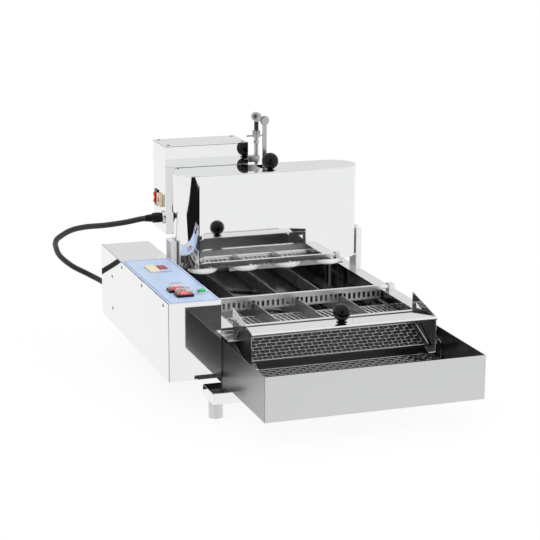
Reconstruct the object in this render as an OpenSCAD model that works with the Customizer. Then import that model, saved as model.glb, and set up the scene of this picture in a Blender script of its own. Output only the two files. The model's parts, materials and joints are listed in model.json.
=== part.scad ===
// Countertop donut fryer: batter hopper with plungers, four-lane oil tank with a flip comb and an exit scoop,
// exit chute, wire rack and collection tray, control box at the left and drive box behind the hopper.
// The layout starts at the control box's front left corner, on the floor:
// X to the right, Y to the back, Z up.

/* [Base] */
// Diameter of a foot
foot_d = 25; // [20:1:40]
// Height of a foot below its bar
foot_h = 32; // [20:1:60]
// Depth of a foot bar, front to back
bar_depth = 60; // [40:1:80]
// Height of a foot bar
bar_h = 20; // [15:1:30]
// How far the front foot bar reaches left of the tank
bar_reach = 33; // [20:1:60]
// Width of a base rail
rail_w = 30; // [20:1:50]

/* [Control box] */
// Width of the control box
control_w = 96; // [90:1:140]
// Length of the control box, front to back
control_len = 484; // [470:1:560]
// Height of the control box
control_h = 140; // [125:1:180]
// Height of the control box's floor above the foot bars
control_lift = 10; // [5:1:20]
// Length of the printed panel, from the front edge
panel_len = 328; // [300:1:400]
// Sheet thickness of all casings
sheet = 1.5; // [1:0.1:2.5]

/* [Tank] */
// Width of one frying lane
lane_pitch = 86; // [75:1:100]
// Length of the oil tank's opening
tank_len = 378; // [365:1:420]
// Depth of the oil tank
tank_depth = 68; // [60:1:80]
// Width of the rim left and right of the opening
rim_side = 26.5; // [24:0.5:40]
// Width of the rim in front of the opening
rim_front = 10; // [8:1:20]
// Width of the deck behind the opening
rim_rear = 88; // [84:1:110]
// Height of the casing, foot bars to rim
casing_h = 98; // [92:1:105]
// Height of a lane divider
divider_h = 25; // [15:1:28]
// Diameter of the heating tube
heater_d = 9; // [6:0.5:12]

/* [Combs] */
// Diameter of a comb shaft
shaft_d = 8; // [6:0.5:12]
// Reach of the flip comb from its shaft's middle
flip_reach = 22; // [16:1:24]
// Length of the exit scoop's plates from their shaft's middle
scoop_len = 108; // [80:1:110]
// Width of a comb's or scoop's panel in one lane
comb_w = 78; // [60:1:80]
// Width of a slot in a comb or in a scoop plate
slot_w = 5; // [2:0.5:6]

/* [Chute and tray] */
// How far the chute's lip stands out in front of the control box
lip_reach = 85; // [60:1:110]
// Height of the lip above the tank's rim
lip_rise = 12; // [8:1:20]
// Height of the chute's cheeks above the rim
cheek_h = 32; // [20:1:45]
// Width of the tray
tray_w = 395; // [360:1:395]
// Depth of the tray, front to back
tray_len = 229; // [200:1:260]
// Height of the tray
tray_h = 78; // [60:1:80]
// Height of the tray's rear wall, which passes below the chute
tray_back_h = 38; // [25:1:40]
// Height of the wire rack's floor above the tray's floor
rack_h = 22; // [15:1:30]
// Thickness of a rack wire
wire_d = 2.4; // [2:0.1:4]

/* [Hopper] */
// Width of the hopper
hopper_w = 369; // [350:1:369]
// Depth of the hopper, front to back
hopper_depth = 92; // [80:1:100]
// Height of the hopper
hopper_h = 179; // [150:1:200]
// Height of the hopper's floor above the tank's rim
hopper_lift = 33; // [30:1:45]
// Outer diameter of a nozzle
nozzle_d = 60; // [50:1:64]
// Bore of a nozzle
nozzle_bore = 44; // [36:1:46]
// Height of a nozzle
nozzle_h = 16; // [12:1:20]
// Stroke of the plungers
stroke = 22; // [10:1:24]

/* [Head box] */
// Width of the head box
head_w = 168; // [150:1:180]
// Depth of the head box
head_depth = 88; // [80:1:88]
// Height of the head box
head_h = 171; // [150:1:200]
// Height of the head box's floor above the tank's deck
head_lift = 84; // [70:1:100]
// How far the head box starts right of the control box
head_offset = 12; // [6:1:20]

/* [Lift linkage] */
// Diameter of the lift rod
rod_d = 8; // [6:0.5:10]
// Height of the link pin above the lid
pin_rise = 91; // [85:1:110]
// Diameter of the link pin
pin_d = 10; // [8:0.5:12]
// Width of the drive bar
drive_w = 8; // [6:0.5:12]
// Length of the lift lever, shaft to tip
lever_len = 50; // [45:1:55]
// Diameter of the lever's shaft
lever_shaft_d = 12; // [10:0.5:16]

/* [Knobs, switches and cable] */
// Diameter of the chute's ball knob
chute_ball_d = 31; // [20:1:36]
// Diameter of the lid's ball knob
lid_ball_d = 32; // [20:1:36]
// Width of a panel switch's frame
switch_w = 32; // [28:1:38]
// Length of a panel switch's frame
switch_len = 29; // [26:1:32]
// Diameter of the push button
button_d = 12; // [8:0.5:14]
// Diameter of the cable between the boxes
cable_d = 11; // [8:0.5:14]

/* [Hidden] */
$fn = 64;

// Clearances, and the overrun of every cut
run_gap = 0.05;
fit_gap = 0.3;
over = 1;

// Heights of the main levels above the floor
deck_z = foot_h + bar_h;
control_z = deck_z + control_lift;
control_top = control_z + control_h;
rim_z = deck_z + casing_h;
casing_top = rim_z - sheet;
tank_floor = rim_z - tank_depth;
hopper_z = rim_z + hopper_lift;
hopper_top = hopper_z + hopper_h;
lid_top = hopper_top + sheet;
head_z = rim_z + head_lift;
head_top = head_z + head_h;

// Plan of the tank and its casing
lanes = 4;
tank_w = lanes * lane_pitch;
casing_x = control_w;
casing_w = tank_w + 2 * rim_side;
tank_x = casing_x + rim_side;
mid_x = tank_x + tank_w / 2;
casing_y = 4;
tank_y = casing_y + rim_front;
tank_back = tank_y + tank_len;
casing_len = rim_front + tank_len + rim_rear;
casing_right = casing_x + casing_w;

// Plan of the tray, which slides under the ledge
chute_half = tank_w / 2;
tray_clear = 2;
tray_wide = max(tray_w, 2 * (chute_half + sheet + tray_clear));
tray_x = mid_x - tray_wide / 2;
tray_front = -tray_len;
tray_z = deck_z;
tray_top = tray_z + tray_h;

// Plan of the hopper and the head box
hopper_gap = 3;
head_gap = 4;
hopper_back = tank_back - hopper_gap;
hopper_y = hopper_back - hopper_depth / 2;
hopper_r = hopper_depth / 2;
head_x = control_w + head_offset;
head_y = hopper_back + head_gap;
head_back = head_y + head_depth;
head_right = head_x + head_w;

// The part's origin: middle of its outline, on the floor
screw_head_h = 1.2;
origin_x = (casing_right - screw_head_h) / 2;
origin_y = (control_len - tray_len) / 2;

// Screws that hold the covers
screw_d = 3.5;
screw_head_d = 7;
screw_len = 6;
screw_inset = 9;
flange = 14;
side_screw_shares = [0.06, 0.36, 0.66];
side_strip_share = 0.82;
side_low_shares = [0.23, 0.68];

// Foot bars, rails and feet
casing_inset = 4;
bar_x = casing_x - bar_reach;
bar_len = casing_right - casing_inset - bar_x;
bar_front = casing_y - bar_depth;
rear_bar_y = casing_y + casing_len - bar_depth - casing_inset;
foot_inset = 14;
rail_inset = 30;

// Flip comb, exit scoop, their bearings and the chain drive
comb_axis_h = 6;
comb_z = rim_z + comb_axis_h;
bearing_w = 12;
bearing_len = 16;
bearing_inset = 4;
comb_bar = 8;
comb_side = 2;
comb_sheet = 1.5;
comb_slots = 8;
comb_slot_rim = 4;
flip_back = 156;
flip_y = casing_y + flip_back;
scoop_back = 22;
scoop_y = casing_y + scoop_back;
scoop_drop = 14;
scoop_z = rim_z - scoop_drop;
scoop_tilt = 4;
scoop_slots = 8;
scoop_slot_start = 14;
scoop_slot_rim = 8;
shaft_in = 14;
shaft_start = control_w - shaft_in;
crank_len = 40;
crank_hub_d = 18;
crank_w = 10;
crank_t = 4;
crank_roller_d = 12;
crank_roller_w = 5;
sprocket_in = 8;
sprocket_x = control_w - sprocket_in;
sprocket_w = 4;
sprocket_r = 16;
sprocket_teeth = 14;
tooth_h = 1.5;
tooth_w = 4;
chain_w = 3;
chain_t = 4;
chain_gap = 0.5;
motor_y = 232;
motor_lift = 48;
motor_z = control_z + motor_lift;
motor_shaft_len = 26;
gearbox_w = 40;
gearbox_len = 56;
motor_d = 46;
motor_len = 18;

// Heating element and probe
heater_lift = 14;
heater_z = tank_floor + heater_lift;
heater_r = heater_d / 2;
heater_front = 26;
heater_end = 28;
heater_leg_d = 5;
heater_run_front = tank_y + heater_front + lane_pitch / 2;
heater_run_back = tank_back - heater_front - lane_pitch / 2;
divider_lift = 24;
divider_z = tank_floor + divider_lift;
divider_t = 1.5;
divider_clear = 4;
fin_drop = 1;
fin_fall = 50;
fin_h = rim_z - fin_drop - divider_z;
fin_front = scoop_y + shaft_d / 2 + divider_clear - tank_y;
fin_back = flip_y - comb_bar - divider_clear - tank_y;
probe_d = 6;
probe_tab_w = 18;
probe_tab_len = 24;
probe_tab_t = 2;
probe_side = 20;
probe_wall = 8;

// Ledges beside the chute, the chute, its mesh and its knob
ledge_drop = 14;
ledge_z = rim_z - ledge_drop;
ledge_side = 1;
ledge_reach = 40;
ledge_flange = 9;
lip_depth = 40;
lip_turn = 6;
lip_z = rim_z + lip_rise;
cheek_over = 4;
cheek_back = casing_y + rim_front + cheek_over;
cheek_gap = 0.5;
cheek_front_drop = 54;
cheek_rear_drop = 27;
window_rear = 2;
window_len = 26;
window_low = 6;
window_mid = 9;
window_top = 16;
foot_back = 31;
foot_w = 11;
foot_top_w = 4.5;
foot_tab_h = 14;
tab_w = 12;
tab_back = 19;
slide_rear = 2;
slide_rear_drop = 21.5;
slide_front = -62;
slide_front_drop = 45;
slide_rows = 8;
slide_columns = 20;
knob_base_d = 20;
knob_neck_d = 10;
knob_base_h = 2.5;

// Wire rack in the tray
rack_side = 4;
rack_columns = 20;
rack_rows = 11;
rack_back = -24;
rack_front_gap = 4;
rack_leg_d = 4;
rack_z = tray_z + sheet + rack_h;
rack_left = tray_x + sheet + rack_side;
rack_w = tray_wide - 2 * sheet - 2 * rack_side;
rack_step = (rack_w - wire_d) / rack_columns;
rack_front = tray_front + sheet + rack_front_gap;

// Panel fittings on the control box's top
overlay_t = 0.6;
overlay_inset = 1;
panel_top = control_top + overlay_t;
controller_pos_shares = [0.53, 0.51];
controller_w = 36;
controller_len = 46;
controller_rise = 3;
controller_deep = 26;
controller_lip = 2;
display_w = 15;
display_len = 30;
display_rise = 0.6;
display_shift_share = 0.22;
switch_x_shares = [0.41, 0.45];
switch_y_shares = [0.172, 0.1];
switch_flange_h = 2.5;
switch_wall = 3;
switch_deep = 18;
switch_lip = 3;
rocker_gap = 0.5;
rocker_pin_d = 3;
rocker_rise = 4.5;
rocker_deep = 6;
rocker_edge_share = 0.6;
cap_rise = 11;
cap_wall = 1.2;
button_x_share = 0.81;
button_y_share = 0.11;
button_bezel_d = 19;
button_bezel_h = 4;
button_rise = 3;
button_travel = 2.5;
button_barrel_d = 15;
button_deep = 16;
button_skirt_d = 13.4;
button_skirt_h = 3;
button_stop = 0;

// Cable between the boxes: gland, plug, socket and route
gland_x = 18;
gland_lift = 48;
gland_z = control_z + gland_lift;
gland_nut_d = 22;
gland_nut_len = 14;
gland_thread_d = 16;
gland_thread_len = 10;
socket_in = 20;
socket_y = head_y + socket_in;
socket_lift = 30;
socket_z = head_z + socket_lift;
socket_flange_d = 26;
socket_flange_t = 4;
socket_barrel_d = 19;
socket_barrel_len = 12;
plug_d = 20;
plug_len = 18;
boot_d = 16;
boot_len = 14;
cable_sides = 10;
cable_steps = 5;
cable_start = [head_x - socket_flange_t - plug_len - boot_len, socket_y, socket_z];
cable_end = [gland_x, control_len + gland_nut_len, gland_z];
cable_route = [
    [60, 413, 263], [46, 415.5, 260.2], [30, 420, 257], [-5, 430, 252], [-40, 445, 248], [-66, 462, 239],
    [-85, 485, 221], [-88, 498, 210], [-86, 510, 199], [-74, 530, 174], [-46, 548, 147], [-14, 554, 127],
    [8, 542, 115], [18, 520, 110]];

// Head box fittings
head_switch_y_share = 0.74;
head_switch_z_share = 0.36;
head_switch_w = 20;
head_switch_h = 32;
counter_y_share = 0.41;
counter_w = 24;
counter_h = 20;
counter_rise = 5;
counter_deep = 20;
counter_lip = 2;
counter_window_share = 0.45;
column_w = 100;
column_depth = 70;
column_side = 32;
column_inset = 8;
gear_w = 56;
gear_len = 54;
gear_h = 78;
gear_motor_d = 54;
gear_motor_len = 60;
gear_side = 3;

// Lift linkage
rod_gap = 9;
lift_y = hopper_back + rod_gap;
lift_x = mid_x;
pin_z = lid_top + pin_rise;
eye_d = 18;
eye_len = 12;
bar_t = 4;
yoke_t = 8;
drive_y = hopper_y + yoke_t / 2;
pin_head_d = 15;
pin_head_t = 4;
pin_back = 3;
collar_d = 14;
collar_side = 3;
collar_h = 8;
lever_tilt = 13;
lever_t = 6;
lever_tip_r = 4;
lever_hub_d = 24;
hub_side = 2;
lever_gap = 0.6;
lever_axis_y = lift_y + rod_d / 2 + lever_gap + lever_tip_r + lever_len;
lever_lift = 66;
lever_axis_z = head_z + lever_lift;
lever_tip_z = lever_axis_z - lever_len * sin(lever_tilt);
collar_z = lever_tip_z + lever_tip_r + fit_gap;
lever_shaft_in = 40;
guide_w = 18;
guide_h = 12;
guide_gap = 3;
guide_z = lid_top + guide_gap;
nut_d = 15;
nut_h = 13;
nut_drop = 40;
nut_z = pin_z - nut_drop;
wing_d = 3;
wing_len = 40;
lock_d = 11;
lock_h = 6;
knurls = 20;
knurl_w = 1.2;
knurl_deep = 0.6;

// Plungers and hopper supports
yoke_h = 12;
yoke_end = 24;
yoke_drop = 42;
yoke_z = hopper_top - yoke_drop;
plunger_rod_d = 10;
plunger_disc_h = 8;
plunger_gap = 0.4;
plunger_rise = 2;
lid_notch_w = 20;
lid_notch_deep = 48;
lid_lip = 6;
lid_knob_shift = 28;
post_len = 34;
post_deep = 11;
post_t = 2.5;
post_rise = 51;
post_shelf = 18;
post_shelf_t = 2.5;
post_nut_d = 9;
post_nut_h = 4;
post_clear = 0.5;

// Moves the layout to the part's origin
module place() translate([-origin_x, -origin_y, 0]) children();

// Cylinders along X and Y, from the given point
module rod_x(r, len) rotate([0, 90, 0]) cylinder(r = r, h = len);
module rod_y(r, len) rotate([-90, 0, 0]) cylinder(r = r, h = len);

// Extrudes a YZ outline along X
module along_x(len) rotate([90, 0, 90]) linear_extrude(len) children();

// Two foot bars: channels with closed ends, open below
module foot_bars() color("gainsboro") place() {
    for (y = [bar_front, rear_bar_y])
        difference() {
            translate([bar_x, y, foot_h]) cube([bar_len, bar_depth, bar_h]);
            translate([bar_x + sheet, y + sheet, foot_h - over])
                cube([bar_len - 2 * sheet, bar_depth - 2 * sheet, bar_h - sheet + over]);
        }
}

// Two channels between the foot bars, under the casing
module base_rails() color("gainsboro") place() {
    for (x = [casing_x + rail_inset, casing_right - rail_inset - rail_w])
        difference() {
            translate([x, casing_y, foot_h]) cube([rail_w, rear_bar_y - casing_y, bar_h]);
            translate([x + sheet, casing_y + sheet, foot_h - over])
                cube([rail_w - 2 * sheet, rear_bar_y - casing_y - 2 * sheet, bar_h - sheet + over]);
        }
}

// Four round feet that reach up to the bars' top sheet
module feet() color("silver") place() {
    for (x = [bar_x + foot_inset, bar_x + bar_len - foot_inset], y = [bar_front, rear_bar_y])
        translate([x, y + bar_depth / 2, 0]) cylinder(d = foot_d, h = deck_z - sheet);
}

// Casing open at the top, with a hole at the left for the scoop's shaft
module tank_casing() color("lightgray") place() difference() {
    translate([casing_x, casing_y, deck_z]) cube([casing_w, casing_len, casing_top - deck_z]);
    translate([casing_x + sheet, casing_y + sheet, deck_z + sheet])
        cube([casing_w - 2 * sheet, casing_len - 2 * sheet, casing_h]);
    translate([casing_x - over, scoop_y, scoop_z]) rod_x(shaft_d / 2 + fit_gap, sheet + 2 * over);
}

// The oil pan hangs from a rim plate that closes the casing
module oil_tank() color("silver") place() difference() {
    union() {
        translate([casing_x, casing_y, casing_top]) cube([casing_w, casing_len, sheet]);
        translate([tank_x - sheet, tank_y - sheet, tank_floor - sheet])
            cube([tank_w + 2 * sheet, tank_len + 2 * sheet, tank_depth]);
    }
    translate([tank_x, tank_y, tank_floor]) cube([tank_w, tank_len, tank_depth + over]);
    for (x = [lane_mid(0), lane_mid(lanes - 1)])
        translate([x, tank_back - over, heater_z]) rod_y(heater_r + run_gap, sheet + 2 * over);
    for (x = [tank_x - sheet, tank_x + tank_w])
        translate([x - over, scoop_y, scoop_z]) rod_x(shaft_d / 2 + fit_gap, sheet + 2 * over);
}

function lane_mid(i) = tank_x + (i + 0.5) * lane_pitch;

// A half turn of the heating tube between two lanes
module heater_bend(i, y, turn) translate([lane_mid(i) + lane_pitch / 2, y, heater_z]) rotate([0, 0, turn])
    rotate_extrude(angle = 180) translate([lane_pitch / 2, 0]) circle(heater_r);

module heating_element() color("dimgray") place() {
    for (i = [0:lanes - 1]) {
        ends = i == 0 || i == lanes - 1;
        translate([lane_mid(i), heater_run_front, heater_z])
            rod_y(heater_r, (ends ? tank_back + heater_end : heater_run_back) - heater_run_front);
        for (y = [heater_run_front, heater_run_back])
            translate([lane_mid(i), y, tank_floor]) cylinder(d = heater_leg_d, h = heater_lift);
    }
    heater_bend(0, heater_run_front, 180);
    heater_bend(2, heater_run_front, 180);
    heater_bend(1, heater_run_back, 0);
}

// Probe on a tab that lies on the rear deck
module temperature_probe() color("gray") place()
    translate([tank_x + tank_w - probe_side, tank_back - probe_wall, 0]) {
        translate([0, 0, divider_z]) cylinder(d = probe_d, h = rim_z + probe_tab_t - divider_z);
        translate([-probe_tab_w / 2, 0, rim_z]) cube([probe_tab_w, probe_tab_len, probe_tab_t]);
    }

// A divider, low along the tank, raised to the rim between the scoop's shaft and the comb's bar
module lane_divider(i) translate([tank_x + i * lane_pitch - divider_t / 2, tank_y, divider_z])
    rotate([90, 0, 90]) linear_extrude(divider_t)
        polygon([[0, 0], [tank_len, 0], [tank_len, divider_h], [fin_back + fin_fall, divider_h],
            [fin_back, fin_h], [fin_front, fin_h], [fin_front, divider_h], [0, divider_h]]);

module lane_divider_1() color("silver") place() lane_divider(1);

module lane_divider_2() color("silver") place() lane_divider(2);

module lane_divider_3() color("silver") place() lane_divider(3);

// A comb hanging from its shaft, the shaft's middle line at zero height: one slotted panel in each lane
module comb(reach) {
    translate([shaft_start, 0, 0]) rod_x(shaft_d / 2, casing_right - bearing_inset - shaft_start);
    translate([tank_x + comb_side, -comb_bar / 2, -comb_bar / 2])
        cube([tank_w - 2 * comb_side, comb_bar, comb_bar]);
    slot_step = comb_w / comb_slots;
    for (i = [0:lanes - 1])
        translate([lane_mid(i) - comb_w / 2, -comb_sheet / 2, -reach]) difference() {
            cube([comb_w, comb_sheet, reach]);
            for (s = [0:comb_slots - 1])
                translate([(s + 0.5) * slot_step - slot_w / 2, -over, comb_slot_rim])
                    cube([slot_w, comb_sheet + 2 * over, reach - comb_slot_rim - comb_bar / 2 - comb_side]);
        }
}

module flip_comb() color("silver") place() translate([0, flip_y, comb_z]) comb(flip_reach);

// One slotted plate in each lane on a shaft at the tank's front, resting with its rear end low
module exit_scoop() color("silver") place() translate([0, scoop_y, scoop_z]) {
    translate([shaft_start, 0, 0])
        rod_x(shaft_d / 2, tank_x + tank_w + sheet + bearing_w - shaft_start);
    slot_step = comb_w / scoop_slots;
    slot_len = scoop_len - scoop_slot_start - scoop_slot_rim;
    for (i = [0:lanes - 1])
        translate([lane_mid(i) - comb_w / 2, 0, 0]) rotate([-scoop_tilt, 0, 0]) difference() {
            translate([0, 0, -comb_sheet / 2]) cube([comb_w, scoop_len, comb_sheet]);
            for (k = [0:scoop_slots - 1])
                translate([(k + 0.5) * slot_step, scoop_slot_start, -over]) {
                    translate([-slot_w / 2, 0, 0]) cube([slot_w, slot_len, 2 * over]);
                    translate([0, slot_len, 0]) cylinder(d = slot_w, h = 2 * over, $fn = 16);
                }
        }
}

// A bearing block, its bottom at zero, with its bore at the given height
module bearing(bore_h, block_h) difference() {
    translate([0, -bearing_len / 2, 0]) cube([bearing_w, bearing_len, block_h]);
    translate([-over, 0, bore_h]) rod_x(shaft_d / 2 + run_gap, bearing_w + 2 * over);
}

// Two blocks on the side rims for the flip comb, two outside the tank's walls for the scoop
module comb_bearings() color("gray") place() {
    for (x = [casing_x + bearing_inset, casing_right - bearing_inset - bearing_w])
        translate([x, flip_y, rim_z]) bearing(comb_axis_h, 2 * comb_axis_h);
    for (x = [tank_x - sheet - bearing_w, tank_x + tank_w + sheet])
        translate([x, scoop_y, scoop_z - bearing_len / 2]) bearing(bearing_len / 2, bearing_len);
}

// Ledges on the casing's front, left and right of the chute, above the tray's sides
module chute_ledges() color("whitesmoke") place() {
    ledge_w = mid_x - chute_half - fit_gap - casing_x - ledge_side;
    for (x = [casing_x + ledge_side, casing_right - ledge_side - ledge_w]) {
        translate([x, casing_y - ledge_reach, ledge_z]) cube([ledge_w, ledge_reach, sheet]);
        translate([x, casing_y - sheet, ledge_z]) cube([ledge_w, sheet, ledge_flange]);
    }
}

// Heights of a cheek's lower edge at its front and at the casing
cheek_low_front = rim_z - cheek_front_drop;
cheek_low_rear = rim_z - cheek_rear_drop;
cheek_rear = casing_y - cheek_gap;
cheek_slope = (cheek_low_rear - cheek_low_front) / (cheek_rear + lip_reach);

// Chute: a flat lip turned down at the front between two cheeks that hang down to the mesh,
// each cheek with a small window, a foot above the ledge and a tab turned in below the mesh
module exit_chute() color("whitesmoke") place() {
    lip_back = lip_depth - lip_reach;
    translate([mid_x - chute_half, 0, 0]) along_x(2 * chute_half) polygon([
        [-lip_reach, lip_z - lip_turn], [sheet - lip_reach, lip_z - lip_turn],
        [sheet - lip_reach, lip_z - sheet], [lip_back, lip_z - sheet],
        [lip_back, lip_z], [-lip_reach, lip_z]]);
    for (side = [-1, 1]) translate([mid_x, 0, 0]) mirror([side < 0 ? 1 : 0, 0, 0]) {
        translate([chute_half - sheet, 0, 0]) along_x(sheet) difference() {
            polygon([[-lip_reach, cheek_low_front], [cheek_rear, cheek_low_rear], [cheek_rear, rim_z],
                [cheek_back, rim_z], [cheek_back, rim_z + cheek_h], [-lip_reach, lip_z]]);
            polygon([[window_rear, rim_z + window_low], [window_rear, rim_z + window_top],
                [window_rear - window_len, rim_z + window_mid]]);
        }
        translate([chute_half - sheet, casing_y - foot_back, ledge_z + sheet + fit_gap]) rotate([90, 0, 0])
            linear_extrude(sheet) polygon([[0, 0], [sheet + foot_w, 0], [sheet + foot_top_w, foot_tab_h],
                [0, foot_tab_h]]);
        translate([chute_half - sheet - tab_w, 0, 0]) along_x(tab_w + sheet / 2) polygon([
            [-lip_reach, cheek_low_front], [tab_back - lip_reach, cheek_low_front + tab_back * cheek_slope],
            [tab_back - lip_reach, cheek_low_front + tab_back * cheek_slope + sheet],
            [-lip_reach, cheek_low_front + sheet]]);
    }
}

// Wire mesh that slopes down to the front between the chute's cheeks
module chute_mesh() color("gray") place() {
    slide_left = mid_x - chute_half + sheet;
    slide_w = 2 * chute_half - 2 * sheet;
    slide_step = (slide_w - wire_d) / slide_columns;
    slide_top = rim_z - slide_rear_drop;
    slide_low = rim_z - slide_front_drop;
    for (i = [0:slide_columns])
        translate([slide_left + i * slide_step, 0, 0]) along_x(wire_d) polygon([
            [slide_front, slide_low - wire_d / 2], [slide_rear, slide_top - wire_d / 2],
            [slide_rear, slide_top + wire_d / 2], [slide_front, slide_low + wire_d / 2]]);
    for (j = [0:slide_rows]) {
        y = slide_front + j * (slide_rear - slide_front - wire_d) / slide_rows;
        z = slide_low + (y + wire_d / 2 - slide_front) * (slide_top - slide_low) / (slide_rear - slide_front);
        translate([slide_left, y, z - wire_d / 2]) cube([slide_w, wire_d, wire_d]);
    }
}

// A ball on a conical base, standing on zero height
module ball_knob(ball_d) rotate_extrude() {
    difference() {
        union() {
            polygon([[0, 0], [knob_base_d / 2, 0], [knob_neck_d / 2, knob_base_h], [0, knob_base_h]]);
            square([knob_neck_d / 2, knob_base_h + ball_d / 2]);
            translate([0, knob_base_h + ball_d / 2 - knob_seat(ball_d)]) circle(d = ball_d);
        }
        translate([-ball_d, -ball_d]) square([ball_d, 3 * ball_d]);
    }
}

// How far the ball sinks onto its neck
function knob_seat(ball_d) = ball_d / 2 - sqrt(pow(ball_d / 2, 2) - pow(knob_neck_d / 2, 2));

module chute_knob() color("black") place()
    translate([mid_x, lip_depth / 2 - lip_reach, lip_z]) ball_knob(chute_ball_d);

// Open tray with a low rear wall
module tray() color("lightgray") place() difference() {
    translate([tray_x, tray_front, tray_z]) cube([tray_wide, tray_len, tray_h]);
    translate([tray_x + sheet, tray_front + sheet, tray_z + sheet])
        cube([tray_wide - 2 * sheet, tray_len - 2 * sheet, tray_h]);
    translate([tray_x + sheet, -2 * sheet, tray_z + tray_back_h])
        cube([tray_wide - 2 * sheet, 2 * sheet + over, tray_h]);
}

// Wire rack in the tray: crossed square wires on four legs
module rack_floor() color("gray") place() {
    rack_len = rack_back - rack_front;
    for (i = [0:rack_columns])
        translate([rack_left + i * rack_step, rack_front, rack_z]) cube([wire_d, rack_len, wire_d]);
    for (j = [0:rack_rows])
        translate([rack_left, rack_front + j * (rack_len - wire_d) / rack_rows, rack_z])
            cube([rack_w, wire_d, wire_d]);
    for (x = [rack_left, rack_left + rack_w - rack_leg_d], y = [rack_front, rack_back - rack_leg_d])
        translate([x, y, tray_z + sheet]) cube([rack_leg_d, rack_leg_d, rack_h + wire_d]);
}

// Places of the panel's fittings on the control box
function switch_pos(i) = [switch_x_shares[i] * control_w, switch_y_shares[i] * control_len];
controller_pos = [controller_pos_shares[0] * control_w, controller_pos_shares[1] * control_len];
display_pos = [controller_pos[0] + display_shift_share * controller_w, controller_pos[1]];
button_pos = [button_x_share * control_w, button_y_share * control_len];

// Upright prism on a rectangle's middle
module pad(pos, w, len, z, h) translate([pos[0] - w / 2, pos[1] - len / 2, z]) cube([w, len, h]);

// Openings through the control box's top for all panel fittings
module panel_cuts(z, h) {
    pad(controller_pos, controller_w + 2 * fit_gap, controller_len + 2 * fit_gap, z, h);
    for (i = [0, 1])
        pad(switch_pos(i), switch_w - 2 * switch_lip + 2 * fit_gap,
            switch_len - 2 * switch_lip + 2 * fit_gap, z, h);
    translate([button_pos[0], button_pos[1], z]) cylinder(d = button_barrel_d + 2 * fit_gap, h = h);
}

// Screw places on the side cover, as Y and Z
side_screws = concat(
    [for (s = side_screw_shares) [s * control_len, control_top - screw_inset]],
    [for (s = side_low_shares) [side_strip_share * control_len, control_z + s * control_h]]);

// Screw places on the head's top cover, as X and Y
head_screws = [for (x = [head_x + screw_inset, head_right - screw_inset], y = [head_y + screw_inset,
    head_back - screw_inset]) [x, y]];

// Control box shell, open at the left, with a turned-in flange there
module control_box() color("whitesmoke") place() difference() {
    translate([sheet, 0, control_z]) cube([control_w - sheet, control_len, control_h]);
    translate([2 * sheet, sheet, control_z + sheet])
        cube([control_w - 3 * sheet, control_len - 2 * sheet, control_h - 2 * sheet]);
    strip_y = side_strip_share * control_len;
    for (span = [[flange, strip_y - flange / 2], [strip_y + flange / 2, control_len - flange]])
        translate([0, span[0], control_z + flange])
            cube([2 * sheet + over, span[1] - span[0], control_h - 2 * flange]);
    for (p = side_screws)
        translate([0, p[0], p[1]]) rod_x(screw_d / 2 + run_gap, 2 * sheet + over);
    panel_cuts(control_top - sheet - over, sheet + 2 * over);
    for (p = [[flip_y, comb_z], [scoop_y, scoop_z]])
        translate([control_w - sheet - over, p[0], p[1]]) rod_x(shaft_d / 2 + fit_gap, sheet + 2 * over);
    translate([gland_x, control_len - sheet - over, gland_z])
        rod_y(gland_thread_d / 2 + run_gap, sheet + 2 * over);
}

module control_side_cover() color("white") place() difference() {
    translate([0, 0, control_z]) cube([sheet, control_len, control_h]);
    for (p = side_screws)
        translate([-over, p[0], p[1]]) rod_x(screw_d / 2 + run_gap, sheet + 2 * over);
}

// A round-head screw along X, its head's seat at zero
module cover_screw() {
    rod_x(screw_d / 2, screw_len);
    translate([-screw_head_h, 0, 0]) rod_x(screw_head_d / 2, screw_head_h);
}

module cover_screws() color("gray") place() {
    for (p = side_screws) translate([0, p[0], p[1]]) cover_screw();
    for (p = head_screws) translate([p[0], p[1], head_top + sheet]) rotate([0, 90, 0]) cover_screw();
}

module panel_overlay() color("lightsteelblue") place() difference() {
    translate([overlay_inset + sheet, overlay_inset, control_top])
        cube([control_w - 2 * overlay_inset - sheet, panel_len, overlay_t]);
    panel_cuts(control_top - over, overlay_t + 2 * over);
}

// Temperature controller: a block through the panel with a wider lip
module controller_bezel() color("wheat") place() difference() {
    union() {
        pad(controller_pos, controller_w, controller_len, panel_top - controller_deep, controller_deep);
        pad(controller_pos, controller_w + 2 * controller_lip, controller_len + 2 * controller_lip, panel_top,
            controller_rise);
    }
    pad(display_pos, display_w + 2 * run_gap, display_len + 2 * run_gap, panel_top, controller_rise + over);
}

module controller_display() color("darkred") place()
    pad(display_pos, display_w, display_len, panel_top, controller_rise + display_rise);

// A switch frame: a flange with a well for its rocker, open at the top, with holes for the rocker's pin
module switch_frame(w, len) difference() {
    union() {
        pad([0, 0], w, len, 0, switch_flange_h);
        pad([0, 0], w - 2 * switch_lip, len - 2 * switch_lip, -switch_deep, switch_deep + over);
    }
    pad([0, 0], rocker_size(w) + 2 * rocker_gap, rocker_size(len) + 2 * rocker_gap, switch_wall - switch_deep,
        switch_deep + switch_flange_h);
    translate([-rocker_pin(w) / 2 - fit_gap, 0, 0])
        rod_x(rocker_pin_d / 2 + run_gap, rocker_pin(w) + 2 * fit_gap);
}

function rocker_size(frame) = frame - 2 * switch_lip - 2 * switch_wall;
function rocker_pin(frame) = rocker_size(frame) + 2 * rocker_gap + switch_wall;

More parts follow.
